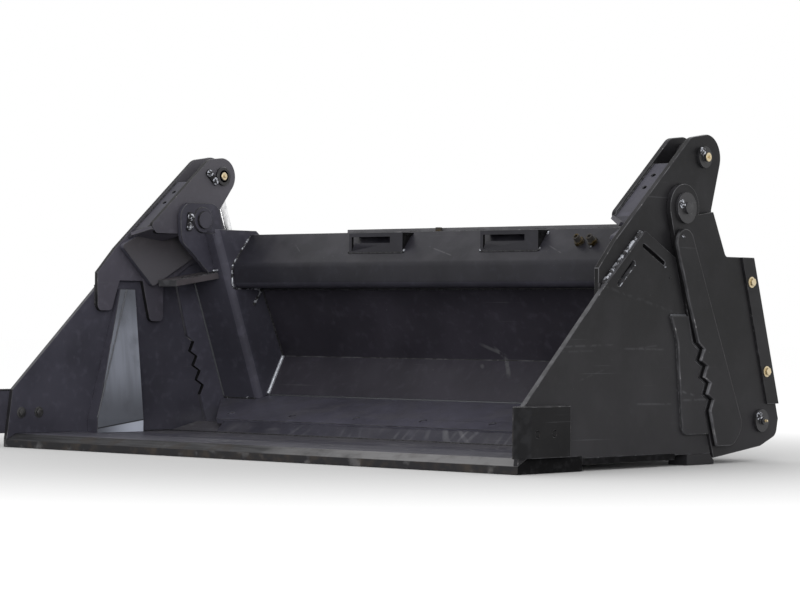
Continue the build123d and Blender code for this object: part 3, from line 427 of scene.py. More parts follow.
class Finish:
    """Material or other node tree that is being wired up."""

    def __init__(self, tree):
        self.tree = tree
        self.tree.nodes.clear()

    def node(self, kind, settings, sockets, output=0):
        """New node with its settings and then its sockets set or linked, as the wire of one output."""
        made = self.tree.nodes.new(kind)
        for key, value in settings.items():
            setattr(made, key, value)
        for key, value in sockets.items():
            if isinstance(value, Wire):
                self.tree.links.new(value.socket, made.inputs[key])
            else:
                made.inputs[key].default_value = value
        if not made.outputs:
            return None
        return Wire(self, made.outputs[output])

    def place(self):
        """Object coordinates."""
        return self.node("ShaderNodeTexCoord", {}, {}, "Object")

    def facing(self, letter="Z"):
        """How far a face looks along an axis, from -1 to 1."""
        normal = self.node("ShaderNodeTexCoord", {}, {}, "Normal")
        return self.node("ShaderNodeSeparateXYZ", {}, {"Vector": normal}, letter)

    def axis(self, letter):
        """One object coordinate."""
        return self.node("ShaderNodeSeparateXYZ", {}, {"Vector": self.place()}, letter)

    def vector(self, operation, first, second=(0, 0, 0), output="Vector"):
        """Result of a Vector Math node."""
        return self.node("ShaderNodeVectorMath", {"operation": operation}, {0: first, 1: second}, output)

    def noise(self, scale, detail=3.0, stretch=(1, 1, 1), turn=(0, 0, 0), shift=(0, 0, 0)):
        """Noise on object coordinates, about 0.5 on average."""
        where = self.node(
            "ShaderNodeMapping",
            {},
            {"Vector": self.place(), "Location": shift, "Rotation": turn, "Scale": stretch},
        )
        return self.node("ShaderNodeTexNoise", {}, {"Vector": where, "Scale": scale, "Detail": detail})

    def ramp(self, value, low, high):
        """Value turned into a mask that is 0 up to low and 1 from high, with soft ends."""
        return self.node(
            "ShaderNodeMapRange",
            {"interpolation_type": "SMOOTHSTEP"},
            {"Value": value, "From Min": low, "From Max": high},
        )

    def band(self, value, low, high, soft):
        """Mask that is 1 between low and high."""
        return self.ramp(value, low - soft, low) * (1 - self.ramp(value, high, high + soft))

    def mix(self, share, first, second):
        """Colour between two colours."""
        return self.node("ShaderNodeMix", {"data_type": "RGBA"}, {0: share, 6: first, 7: second}, 2)

    def bump(self, height, distance, strength=1.0):
        """Normal of a surface with small height differences."""
        return self.node(
            "ShaderNodeBump",
            {},
            {"Height": height, "Distance": distance, "Strength": strength},
        )

    def shader(self, **sockets):
        """Surface of the material. Socket names are written with _ for spaces."""
        named = {key.replace("_", " "): value for key, value in sockets.items()}
        surface = self.node("ShaderNodeBsdfPrincipled", {}, named)
        self.node("ShaderNodeOutputMaterial", {}, {"Surface": surface})


def new_finish(name):
    """Finish that wires a new material, and the colours for it."""
    material = bpy.data.materials.new(name)
    material.use_nodes = True
    return Finish(material.node_tree), bpy.context.scene.bucket_colours


def solid(colour, share=1.0):
    """Colour made lighter or darker, with full alpha."""
    return (colour[0] * share, colour[1] * share, colour[2] * share, 1.0)


def fine_scratches(finish, low, high):
    """Mask of thin scratches along three directions."""
    along_y = finish.noise(1.0, 2.0, (150, 2.2, 150), (0.06, 0, 0.1))
    along_x = finish.noise(1.0, 2.0, (1.7, 150, 150), (0, 0.05, -0.08), (3, 1, 4))
    slanted = finish.noise(1.0, 2.0, (150, 3.1, 150), (0.75, 0.1, 0.3), (7, 2, 5))
    return finish.ramp(along_y, low, high) + finish.ramp(along_x, low, high) + finish.ramp(slanted, low, high)


def swirls(finish):
    """Mask of curved scratches round a few centres, in patches."""
    marks = 0.0
    for index, centre in enumerate(SWIRL_CENTRES):
        reach = finish.vector("DISTANCE", finish.place(), centre, "Value")
        wobble = finish.noise(3.0, 2.0, shift=(index, 4, 2))
        rings = finish.node("ShaderNodeMath", {"operation": "SINE"}, {0: reach * 170.0 + wobble * 40.0})
        patch = finish.ramp(finish.noise(7.0, 6.0, shift=(9, 2, 3 * index)), 0.5, 0.72)
        marks = marks + finish.ramp(rings, 0.3, 1.0) * patch * 0.6
    return marks


def drag_marks(finish):
    """Mask of long streaks along the cutting edge, with swirls over them."""
    streaks = finish.ramp(finish.noise(1.0, 3.0, (1.3, 110, 110)), 0.5, 0.68)
    return streaks * 0.7 + swirls(finish)


def streak(finish, start, end, width):
    """Mask of one straight scratch."""
    along = end - start
    heading = along.normalized()
    offset = finish.vector("SUBTRACT", finish.place(), tuple(start))
    run = finish.vector("DOT_PRODUCT", offset, tuple(heading), "Value")
    aside = finish.vector("LENGTH", finish.vector("CROSS_PRODUCT", offset, tuple(heading)), output="Value")
    broken = finish.ramp(finish.noise(55.0, 3.0), 0.36, 0.56)
    within = finish.band(run, 0.0, along.length, width * 4)
    return within * (1 - finish.ramp(aside, width * 0.2, width)) * broken


def lined(lines):
    """Function that adds straight scratches to a paint."""
    def marks(finish):
        total = 0.0
        for start, end, width, strength in lines:
            total = streak(finish, spot(*start), spot(*end), width / 1000) * strength + total
        return total
    return marks


def black_paint(
    name,
    tone=1.0,
    gloss=0.4,
    shine=0.12,
    dusty=0.5,
    scuffed=0.5,
    tint=(1, 1, 1),
    fade=None,
    marks=None,
    mark_level=1.0,
):
    """Semi-gloss black paint with clouding, dust, scuffs, scratches and a faint orange peel.

    fade mixes the dust colour in along an axis: letter, start and end in metres, share. Some finishes use it
    as painted light or painted shade.
    """
    finish, colours = new_finish(name)
    clouds = finish.noise(5.0, 4.0)
    fine = finish.noise(38.0, 5.0, shift=(2, 5, 1))
    grain = finish.noise(420.0, 2.0)
    upward = finish.ramp(finish.facing(), 0.25, 0.95)
    patchy = finish.ramp(finish.noise(11.0, 6.0, shift=(4, 4, 2)), 0.42, 0.68)
    dust = (0.1 + 0.5 * upward) * patchy * dusty
    # Where a finish uses the fade as painted light or shade, it is no dust.
    if fade:
        letter, start, end, share = fade
        dust = dust + finish.ramp(finish.axis(letter), start, end) * share
    scratch = fine_scratches(finish, 0.71, 0.77) * finish.ramp(clouds, 0.4, 0.62) * scuffed
    if marks:
        scratch = scratch + marks(finish)
    paint = [channel * share for channel, share in zip(colours.paint, tint)]
    cloudy = finish.ramp(clouds, 0.3, 0.7) * 0.5
    colour = finish.mix(cloudy, solid(paint, tone * 0.8), solid(paint, tone * 1.5))
    colour = finish.mix(finish.ramp(fine, 0.5, 0.75) * 0.3, colour, solid(paint, tone * 2.0))
    colour = finish.mix(dust, colour, solid(colours.dust))
    colour = finish.mix(scratch, colour, solid(colours.rubbed, mark_level))
    finish.shader(
        Base_Color=colour,
        Roughness=gloss + 0.16 * fine + 0.25 * dust - 0.08,
        Normal=finish.bump(grain + 0.8 * fine, 0.00025, 0.35),
        Specular_IOR_Level=shine,
    )


def rubbed_edge(name, wear=1.0):
    """Edge of a painted plate, worn through to steel in places."""
    finish, colours = new_finish(name)
    worn = finish.ramp(finish.noise(26.0, 6.0), 0.42, 0.68)
    bare = finish.ramp(finish.noise(60.0, 4.0, shift=(1, 8, 3)), 0.6, 0.74) * wear
    colour = finish.mix(worn, solid(colours.paint, 1.6), solid(colours.rubbed, 0.9))
    colour = finish.mix(bare * 0.7, colour, solid(colours.steel))
    finish.shader(
        Base_Color=colour,
        Roughness=0.38 + 0.2 * worn,
        Metallic=bare * 0.6,
        Normal=finish.bump(finish.noise(300.0, 3.0), 0.0003, 0.4),
        Specular_IOR_Level=0.25,
    )


def worn_flank(name, level, bare_share, shine=0.3, root=0.0):
    """Cut edge of a thick plate: thin paint with bare patches and saw marks. Its level makes edges that look
    forward lighter, partly wear and partly painted light from the front.

    root is how far from the middle the painted shade of a gap reaches, in metres.
    """
    finish, colours = new_finish(name)
    patches = finish.ramp(finish.noise(34.0, 5.0), 0.4, 0.66)
    bare = finish.ramp(finish.noise(21.0, 4.0, shift=(6, 1, 2)), 0.62 - bare_share, 0.78 - bare_share)
    lines = finish.noise(1.0, 2.0, (8, 420, 420))
    colour = finish.mix(patches, solid(colours.rubbed, level * 0.55), solid(colours.rubbed, level))
    colour = finish.mix(bare, colour, solid(colours.steel, 0.9))
    # Inside the root the edge is painted near-black as the shade in the gap.
    if root:
        past_gap_shade = finish.ramp(abs(finish.axis("X")), root - 0.001, root + 0.001)
        colour = finish.mix(past_gap_shade, solid(colours.paint, 0.3), colour)
    finish.shader(
        Base_Color=colour,
        Roughness=0.45 + 0.15 * patches - 0.12 * bare,
        Metallic=bare * 0.55,
        Normal=finish.bump(lines, 0.0003, 0.35),
        Specular_IOR_Level=shine,
    )


def painted_shade(name):
    """Near-black rough colour with spots that paints the shade in narrow gaps, under edges that look down and
    on ends in shade.
    """
    finish, colours = new_finish(name)
    spots = finish.noise(60.0, 4.0)
    colour = finish.mix(finish.ramp(spots, 0.45, 0.7), solid(colours.paint, 0.35), solid(colours.paint, 0.9))
    finish.shader(
        Base_Color=colour,
        Roughness=0.85 + 0.1 * spots,
        Normal=finish.bump(spots, 0.0008, 0.5),
        Specular_IOR_Level=0.06,
    )


def blade_steel(name):
    """Worn bevel of the cutting edge: bright towards the right, dull and rusty towards the left."""
    finish, colours = new_finish(name)
    streaks = finish.noise(1.0, 4.0, (9, 150, 150))
    patches = finish.noise(9.0, 5.0, shift=(1, 2, 3))
    right = finish.ramp(finish.axis("X"), -0.2, 0.6)
    bright = finish.ramp(patches + 0.42 * right - 0.1, 0.42, 0.68)
    rusty = finish.ramp(finish.noise(16.0, 6.0, shift=(3, 3, 1)), 0.5, 0.68)
    streaky = finish.ramp(streaks, 0.35, 0.7)
    colour = finish.mix(streaky, solid(colours.rubbed, 0.2), solid(colours.rubbed, 0.5))
    colour = finish.mix(bright * (0.06 + 0.4 * right), colour, solid(colours.steel, 0.75))
    colour = finish.mix(rusty * (0.5 - 0.3 * bright), colour, solid(colours.rust))
    finish.shader(
        Base_Color=colour,
        Roughness=0.52 - 0.12 * bright + 0.2 * rusty,
        Metallic=bright * right * 0.4,
        Normal=finish.bump(streaks + 0.5 * patches, 0.0006, 0.4),
        Specular_IOR_Level=0.16,
    )


def rusty_nose(name):
    """Blunt front of the cutting edges: rust over scraped steel."""
    finish, colours = new_finish(name)
    blotches = finish.noise(30.0, 6.0)
    scraped = finish.ramp(finish.noise(18.0, 5.0, shift=(2, 7, 1)), 0.58, 0.7)
    colour = finish.mix(finish.ramp(blotches, 0.45, 0.75), solid(colours.paint, 1.6), solid(colours.rust))
    colour = finish.mix(scraped * 0.35, colour, solid(colours.steel, 0.6))
    finish.shader(
        Base_Color=colour,
        Roughness=0.72 - 0.2 * scraped,
        Metallic=scraped * 0.3,
        Normal=finish.bump(blotches, 0.001, 0.5),
        Specular_IOR_Level=0.12,
    )


def gusset_paint(name):
    """Pale blue grey coat of the corner gussets, with a painted sheen half way up, a dark seam over the foot,
    and the foot painted lighter towards the back as a painted highlight.
    """
    finish, colours = new_finish(name)
    height = finish.axis("Z")
    back = finish.axis("Y") + DRAWING_FRONT / 1000
    over_seam = height - SEAM_SLOPE * (back - SEAM_BACK)
    # Band half way up painted lighter: a painted sheen.
    middle = finish.band(height, 0.23, 0.31, 0.14)
    runs = finish.noise(1.0, 3.0, (34, 34, 2.2))
    dirt = finish.ramp(finish.noise(14.0, 6.0, shift=(3, 1, 6)), 0.5, 0.74)
    colour = finish.mix(middle, solid(colours.primer, 0.5), solid(colours.primer, 1.1))
    colour = finish.mix(finish.ramp(runs, 0.42, 0.7) * 0.4, colour, solid(colours.primer, 0.5))
    colour = finish.mix(dirt * 0.35, colour, solid(colours.paint, 4.0))
    # The foot is painted lighter towards the back: a painted highlight.
    foot = 1 - finish.ramp(over_seam, 0.044, 0.047)
    colour = finish.mix(foot * finish.ramp(back, 0.3, 0.46), colour, solid(colours.primer, 2.2))
    seam = finish.band(over_seam, *SEAM, 0.0014)
    colour = finish.mix(seam * 0.9, colour, solid(colours.paint))
    finish.shader(
        Base_Color=colour,
        Roughness=0.42 + 0.14 * runs,
        Normal=finish.bump(runs - 0.6 * seam, 0.0006, 0.3),
        Specular_IOR_Level=0.35,
    )


def weld_metal(name, bright_share, level=1.0, fineness=48.0):
    """Weld bead: painted black, with bare bright patches."""
    finish, colours = new_finish(name)
    patches = finish.noise(fineness, 3.0, shift=(2, 2, 9))
    bare = finish.ramp(patches, 0.78 - bright_share, 0.9 - bright_share)
    mottled = finish.ramp(finish.noise(120.0), 0.4, 0.6)
    colour = finish.mix(mottled, solid(colours.paint), solid(colours.paint, 2.6))
    colour = finish.mix(bare, colour, solid(colours.weld, level))
    finish.shader(
        Base_Color=colour,
        Roughness=0.42 - 0.1 * bare,
        Metallic=bare * 0.5,
        Normal=finish.bump(finish.noise(700.0, 2.0), 0.0003, 0.4),
        Specular_IOR_Level=0.2,
    )


def plated(name, colour, rough, dirt_share, marks=0.3):
    """Plated or turned metal with tool marks, colour drift and dirt in patches."""
    finish, colours = new_finish(name)
    drift = finish.noise(70.0, 3.0)
    turning = finish.noise(260.0, 2.0)
    dirt = finish.ramp(finish.noise(42.0, 6.0, shift=(5, 3, 8)), 0.62 - dirt_share, 0.82 - dirt_share)
    shade = finish.mix(finish.ramp(drift, 0.35, 0.65), solid(colour, 0.8), solid(colour, 1.1))
    shade = finish.mix(dirt * 0.85, shade, solid(colours.paint, 2.0))
    finish.shader(
        Base_Color=shade,
        Roughness=rough + 0.12 * drift + 0.3 * dirt,
        Metallic=0.95 - 0.7 * dirt,
        Normal=finish.bump(turning, 0.0002, marks),
    )


def clear_selection():
    """Leaves edit mode and deselects every object."""
    if bpy.context.object and bpy.context.object.mode != "OBJECT":
        bpy.ops.object.mode_set(mode="OBJECT")
    bpy.ops.object.select_all(action="DESELECT")


def hold(piece):
    """Makes a piece the active object and the only selected one."""
    clear_selection()
    piece.select_set(True)
    bpy.context.view_layer.objects.active = piece


def edit(kind="VERT", action="SELECT"):
    """Goes into edit mode with all points, edges or faces of the active piece selected or deselected."""
    bpy.ops.object.mode_set(mode="EDIT")
    bpy.ops.mesh.select_mode(type=kind)
    bpy.ops.mesh.select_all(action=action)


def leave():
    """Goes back to object mode."""
    bpy.ops.object.mode_set(mode="OBJECT")


def settle(piece):
    """Puts a piece's place, turn and scale into its mesh."""
    hold(piece)
    bpy.ops.object.transform_apply(location=True, rotation=True, scale=True)


def pick_point(piece, index):
    """Goes into edit mode with only one point of a piece selected."""
    hold(piece)
    edit("VERT", "DESELECT")
    leave()
    piece.data.vertices[index].select = True
    bpy.ops.object.mode_set(mode="EDIT")


def apply_modifier(piece, name, kind, **settings):
    """Adds a modifier and applies it."""
    hold(piece)
    modifier = piece.modifiers.new(name, kind)
    for key, value in settings.items():
        setattr(modifier, key, value)
    bpy.ops.object.modifier_apply(modifier=modifier.name)


def own_copy(piece, name):
    """Copy of a piece with a mesh of its own."""
    copy = piece.copy()
    copy.data = piece.data.copy()
    copy.name = name
    bpy.context.scene.collection.objects.link(copy)
    return copy


def set_down(piece, place, axis, turn=0.0):
    """Stands a piece that was made upright at the origin on a place, along an axis, in its mesh."""
    upright = axis.to_track_quat("Z", "Y").to_matrix().to_4x4()
    piece.matrix_world = Matrix.Translation(place) @ upright @ Matrix.Rotation(turn, 4, "Z")
    settle(piece)


def join(pieces, name):
    """Pieces joined to one."""
    clear_selection()
    for piece in pieces:
        piece.select_set(True)
    bpy.context.view_layer.objects.active = pieces[0]
    if len(pieces) > 1:
        bpy.ops.object.join()
    joined = bpy.context.object
    joined.name = name
    joined.data.name = name
    return joined


def discard(piece):
    """Removes a piece that was only copied from."""
    bpy.data.objects.remove(piece, do_unlink=True)


def paint_over(piece, *finishes):
    """Gives a piece its finishes, the first one all over."""
    piece.data.materials.clear()
    for finish in finishes:
        piece.data.materials.append(bpy.data.materials[finish])


def soft_copy(node, name, whole):
    """Copy of a CAD node's mesh with merged points and, if asked for, flat faces made whole."""
    piece = bpy.data.objects.new(name, frame["nodes"][node].data.copy())
    bpy.context.scene.collection.objects.link(piece)
    hold(piece)
    edit()
    bpy.ops.mesh.remove_doubles(threshold=MERGE_DISTANCE)
    if whole:
        bpy.ops.mesh.dissolve_limited(angle_limit=FLAT_ANGLE, use_dissolve_boundaries=False)
    leave()
    bpy.ops.object.shade_smooth_by_angle(angle=PLATE_SMOOTH)
    return piece


def round_edges(piece, width):
    """Rounds a piece's sharp edges; the rounding takes the piece's second finish."""
    apply_modifier(
        piece,
        "edges",
        "BEVEL",
        width=width,
        segments=2,
        limit_method="ANGLE",
        angle_limit=BEVEL_ANGLE,
        use_clamp_overlap=False,
        harden_normals=True,
        material=1,
    )


def mark_faces(piece, finish, wanted):
    """Gives a finish to the faces that wanted(x, y, z, normal) asks for, in places of the drawing.

    x counts from the middle to either side, and the normal's x is 1 for a face that looks outwards.
    """
    piece.data.materials.append(bpy.data.materials[finish])
    slot = len(piece.data.materials) - 1
    for face in piece.data.polygons:
        side = math.copysign(1, face.center.x)
        y = face.center.y * 1000 + DRAWING_FRONT
        z = face.center.z * 1000 + GROUND
        normal = Vector((face.normal.x * side, face.normal.y, face.normal.z))
        if wanted(abs(face.center.x) * 1000, y, z, normal):
            face.material_index = slot


def ring_of(points, radius, fill="NGON"):
    """New flat ring of points round the origin, filled or open."""
    clear_selection()
    bpy.ops.mesh.primitive_circle_add(vertices=points, radius=radius, fill_type=fill, location=(0, 0, 0))
    return bpy.context.object


def close_up(piece, name):
    """Turns a piece's faces outwards, leaves edit mode, and smooths and names the piece."""
    bpy.ops.mesh.select_all(action="SELECT")
    bpy.ops.mesh.normals_make_consistent(inside=False)
    leave()
    bpy.ops.object.shade_smooth_by_angle(angle=DETAIL_SMOOTH)
    piece.name = name
    return piece


def turned(name, sides, rings):
    """Upright turned or hexagonal piece: a disc extruded and scaled from ring to ring.

    Each ring is a radius and a height, in millimetres.
    """
    radius, height = rings[0]
    piece = ring_of(sides, radius / 1000)
    edit("FACE")
    bpy.ops.transform.translate(value=(0, 0, height / 1000))
    for next_radius, next_height in rings[1:]:
        rise = (next_height - height) / 1000
        bpy.ops.mesh.extrude_region_move(TRANSFORM_OT_translate={"value": (0, 0, rise)})
        bpy.ops.transform.resize(value=(next_radius / radius, next_radius / radius, 1))
        radius, height = next_radius, next_height
    return close_up(piece, name)


def prism(name, corners, sweep):
    """Flat piece or bar: a disc with its points moved to the corners and extruded along sweep."""
    piece = ring_of(len(corners), START_RADIUS)
    for index, corner in enumerate(corners):
        pick_point(piece, index)
        bpy.ops.transform.translate(value=corner - piece.data.vertices[index].co)
    edit("FACE")
    bpy.ops.mesh.extrude_region_move(TRANSFORM_OT_translate={"value": sweep})
    return close_up(piece, name)


def hex_bolt(name, radius, height, washer):
    """Hexagon head with a crowned top on a round washer."""
    head = turned(
        name + "_head",
        6,
        [(radius, washer), (radius, washer + height * 0.86), (radius * 0.86, washer + height)],
    )
    ring = turned(
        name + "_washer",
        22,
        [(radius * 1.35, 0), (radius * 1.35, washer * 0.8), (radius * 1.28, washer)],
    )
    return join([head, ring], name)


def keeper_bar(name, length, width, thickness):
    """Flat bar with rounded ends, lying along X on the ground."""
    clear_selection()
    bpy.ops.mesh.primitive_cube_add(size=1, location=(0, 0, thickness / 2000))
    bar = bpy.context.object
    bar.scale = (length / 1000, width / 1000, thickness / 1000)
    settle(bar)
    edit("EDGE", "DESELECT")
    leave()
    for edge in bar.data.edges:
        low, high = [bar.data.vertices[index].co for index in edge.vertices]
        edge.select = abs(low.z - high.z) > thickness / 2000
    bpy.ops.object.mode_set(mode="EDIT")
    bpy.ops.mesh.bevel(offset=width * 0.32 / 1000, segments=4, affect="EDGES")
    leave()
    bar.name = name
    apply_modifier(bar, "edges", "BEVEL", width=BAR_ROUND, segments=2, limit_method="ANGLE")
    bpy.ops.object.shade_smooth_by_angle(angle=DETAIL_SMOOTH)
    return bar


def ripple():
    """One ripple of a weld bead along Z: an open ring that swells half way, radius and length 1."""
    piece = ring_of(RIPPLE_POINTS, RIPPLE_NECK, "NOTHING")
    edit("EDGE")
    bpy.ops.mesh.extrude_region_move(TRANSFORM_OT_translate={"value": (0, 0, RIPPLE_SWELL)})
    bpy.ops.transform.resize(value=(1 / RIPPLE_NECK, 1 / RIPPLE_NECK, 1))
    bpy.ops.mesh.extrude_region_move(TRANSFORM_OT_translate={"value": (0, 0, 1 - RIPPLE_SWELL)})
    bpy.ops.transform.resize(value=(RIPPLE_NECK, RIPPLE_NECK, 1))
    leave()
    return piece


def bead(master, start, end, radius, seed):
    """Weld bead between two places: ripples in a row, closed at the ends and made uneven."""
    sizes = bpy.context.scene.bucket_sizes
    along = end - start
    count = max(2, round(along.length / sizes.weld_pitch))
    pitch = along.length / count
    piece = own_copy(master, "bead")
    piece.scale = (radius, radius, pitch)
    settle(piece)
    apply_modifier(
        piece,
        "ripples",
        "ARRAY",
        count=count,
        use_relative_offset=False,
        use_constant_offset=True,
        constant_offset_displace=(0, 0, pitch),
        use_merge_vertices=True,
        merge_threshold=RIPPLE_MERGE,
    )
    edit("EDGE")
    bpy.ops.mesh.fill_holes(sides=RIPPLE_POINTS)
    bpy.ops.mesh.normals_make_consistent(inside=False)
    bpy.ops.transform.vertex_random(offset=radius * sizes.weld_waver, seed=seed)
    leave()
    set_down(piece, start, along.normalized())
    return piece


def level(x, *section):
    """Places of a section line, (y, z), at one x."""
    return [(x, y, z) for y, z in section]


def across(y, z, start, end):
    """Places of a line across the bucket."""
    return [(start, y, z), (end, y, z)]


# Weld lines of each body: radius of the bead, whether the other side has it too, places. Their order
# counts, because it seeds the unevenness of each bead.
SHELL_BRIGHT = (
    (6.5, True, level(SIDE_IN + 2, (342, 450), (496, 583))),
    (1.6, True, level(SIDE_OUT - 1, (396, 443), (460, 498))),
    (3.0, True, level(SIDE_OUT, (581, 495), (586, 496))),
    (2.6, True, level(SIDE_OUT, (603, 468), (608, 469))),
)
SHELL_PAINTED = (
    (3.6, True, level(SIDE_IN, (252, 20), (630, 20))),
    (3.2, False, across(632, 20, -924, 924)),
    (3.4, True, level(SIDE_IN, (329, 451), (329, 392), (344, 377), (368, 377), (383, 392), (413, 463))),
    (3.4, True, level(SIDE_IN, (507, 463), (536, 450), (536, 361), (551, 346))),
    (3.4, True, level(SIDE_IN, (551, 346), (575, 346), (590, 361), (590, 448))),
    (3.6, True, level(TANG_OUT, (477, 622), (640, 762))),
    (3.6, True, level(ARM_IN, (477, 622), (640, 762))),
    (2.2, True, level(SIDE_OUT, (605, 371), (632, 306), (654, 80), (668, 67), (766, 67))),
    (3.2, True, level(SIDE_IN, (486, 62), (476, 438))),
    (3.0, True, level(SIDE_OUT, (-18, 149), (180, 149))),
)
SHELL_DULL = (
    (3.2, True, level(SIDE_OUT + 1, (606, 373), (672, 373))),
    (2.2, True, level(SIDE_IN - 42, (305, 64), (416, 438))),
    (2.6, False, across(251, 21, -924, 924)),
)
FRAME_BRIGHT = (
    (4.0, True, level(END_IN, (815, 602), (748, 522), (741, 510))),
    (3.6, True, level(END_IN, (741, 508), (742, 458), (752, 446))),
    (3.4, True, level(END_IN, (756, 445), (838, 447))),
    (5.0, True, level(END_IN, (838, 447), (866, 444), (832, 396))),
    (4.0, True, level(815, (700, 497), (722, 500))),
    (4.5, True, across(861, 116, 918, 908)),
    (4.5, True, across(861, 116, 832, 820)),
    *((3.6, False, level(x, (767, 547), (776, 557))) for x in STEP_CORNERS),
    (3.6, False, level(STEP_CORNERS[-1], (806, 593), (812, 600))),
    (4.0, True, level(RIB_OUT - 1, (634, 577), (646, 571))),
    (4.5, False, [(548, 773, 554), (556, 776, 557)]),
)
FRAME_SHINY = ((7.0, True, level(END_IN, (961, 243), (898, 129))),)
FRAME_DULL = (
    (3.6, False, across(898, 125, -770, 770)),
    (4.0, True, level(SIDE_IN, (860, 118), (727, 474))),
)
FRAME_PAINTED = (
    (4.0, True, level(END_IN, (869, 445), (961, 246))),
    (4.0, False, across(866, 445, -770, 770)),
    (3.4, True, across(861, 114, 922, 792)),
    (3.0, True, level(FRAME_OUT, (685, 572), (910, 88))),
    (3.0, False, across(768, 546.5, -324, -120)),
    (3.0, False, across(768, 546.5, 171, 375)),
    *((3.0, False, across(845, 608, x, x + BAR_WELD_LENGTH)) for x in BAR_WELDS),
    (3.4, True, level(EAR_IN, (584, 473), (722, 494))),
    *((4.0, True, level(x, (961, 447), (917.5, 588))) for x in HITCH_EDGES),
    (4.0, True, across(917, 590, 152, 558)),
    *((4.0, True, level(x, (1063, 115), (1052.5, 149))) for x in HITCH_EDGES),
    (4.0, True, level(END_IN, (912, 607), (960, 448))),
    (4.0, True, level(END_IN, (1063, 114), (1052.5, 149))),
)

# Finish, edge finish and record slot of each kind of node, by its name without left or right. Where the last
# ones are left out, dress gives it rubbed edges.
PLATES = {
    "side_plate": ("side_paint",),
    "tooth_doubler": ("side_paint",),
    "rear_side_plate": ("frame_paint",),
    "strap_rib": ("frame_paint",),
    "heel_beam": ("frame_paint",),
    "hitch_plate": ("frame_paint",),
    "hitch_ribs": ("frame_paint",),
    "floor_plate": ("floor_paint",),
    "rear_lip": ("floor_paint",),
    "rear_floor_plate": ("rear_floor_paint",),
    "skid_blocks": ("floor_paint",),
    "moldboard": ("moldboard_paint", "soft_edge"),
    "top_beam": ("beam_paint",),
    "beam_bar": ("bar_paint",),
    "step_plates": ("beam_paint",),
    "column_caps": ("cap_paint",),
    "end_plate": ("column_paint", "soft_edge"),
    "pivot_ear": ("column_paint",),
    "arm_outer_plate": ("arm_paint",),
    "arm_inner_plate": ("arm_paint",),
    "pivot_hub": ("arm_paint",),
    "arm_webs": ("web_paint", "soft_edge"),
    "corner_gusset": ("gusset_paint",),
    "cylinder_guard": ("guard_paint",),
    "side_cutter": ("cutter_paint",),
    "front_cutting_edge": ("edge_paint", "rubbed_edge", "worn_edge_paint"),
}
CYLINDERS = {
    "barrel": ("frame_paint", "soft_edge"),
    "gland": ("frame_paint", "soft_edge"),
    "rod_eye": ("frame_paint", "soft_edge"),
    "piston_rod": ("chrome", "chrome", "chrome_rod"),
    "piston": ("pin_steel", "pin_steel", "machined_steel"),
    "hydraulic_tubes": ("tube_paint", "soft_edge", "machined_steel"),
    "hydraulic_fittings": ("brass", "brass", "bronze"),
}
PINS = {
    "pivot_pin": ("pin_paint", "rubbed_edge", "machined_steel"),
    "rod_pin": ("pin_paint", "rubbed_edge", "machined_steel"),
    "base_pins": ("pin_paint", "rubbed_edge", "machined_steel"),
    "pivot_bushes": ("bronze", "bronze", "bronze"),
}


def at_teeth(z):
    """Whether a height is that of the teeth along the parting line."""
    return TEETH_FOOT < z < TEETH_TOP


def inward(x, y, z, normal):
    """Face that looks to the middle of the bucket, with its rounded rim."""
    return normal.x < -0.5


def front_edge(x, y, z, normal):
    """Sloping front edge of a side plate."""
    return normal.y < -0.6 and z > EDGE_FOOT and y < EDGE_BACK


def front_flank(x, y, z, normal):
    """Cut edge of a strap that looks forward, above the teeth."""
    return normal.y < -0.6 and z >= TEETH_TOP


def tooth_flank(x, y, z, normal):
    """Cut edge of a strap that looks forward, at the teeth and below."""
    return normal.y < -0.5 and z < TEETH_TOP


def forward(x, y, z, normal):
    """Cut edge that looks forward."""
    return normal.y < -0.6


def parting_edge(x, y, z, normal):
    """Edge along the teeth of the parting line, its rounded rim included."""
    return abs(normal.x) < 0.9 and normal.y > 0.3 and at_teeth(z)


def strap_edge(x, y, z, normal):
    """Edge of the rear side plate that looks at the teeth, its inner rim included."""
    return normal.y < -0.3 and normal.x < 0.3 and at_teeth(z)


def plain_rim(x, y, z, normal):
    """Edge along the parting line above and below the teeth, and its inner rim."""
    on_rim = not at_teeth(z) and z < RIM_TOP and y > RIM_FRONT
    return abs(normal.y) > 0.3 and normal.x < 0.3 and on_rim


def gap_floor(x, y, z, normal):
    """Inner face of a strap rib where it closes the parting gap, clear of the teeth."""
    return normal.x < -0.9 and not at_teeth(z)


def lower_rim(x, y, z, normal):
    """Edge of an arm's plates that looks down, above the tail, its rounded rim included."""
    return normal.z < -0.35 and normal.x < 0.9 and z > ARM_RIM_FOOT


def beam_bend(x, y, z, normal):
    """Lower bend of the beam's front."""
    return normal.y < -0.2 and -0.95 < normal.z < -0.3 and z < BEND_TOP


def column_bend(x, y, z, normal):
    """Bend between an end plate and its front wall."""
    return 0.2 < -normal.x < 0.93 and normal.y < -0.2


def top_bevel(x, y, z, normal):
    """Ground bevel of the cutting edge."""
    return normal.z > 0.4 and normal.y < -0.1


def blunt_nose(x, y, z, normal):
    """Blunt front of a cutting edge."""
    return normal.y < -0.7


def side_bevel(x, y, z, normal):
    """Ground bevel of a side cutter."""
    return normal.y < -0.1 and abs(normal.x) > 0.3


def outward(x, y, z, normal):
    """Face that looks away from the middle of the bucket."""
    return normal.x > 0.7


def step_end(x, y, z, normal):
    """Cut end of a step plate."""
    return abs(normal.x) > 0.9


def tail_face(x, y, z, normal):
    """Inner face of the tail plate under an arm's web."""
    return normal.x < -0.5 and x < TAIL_OUT and z < TAIL_TOP
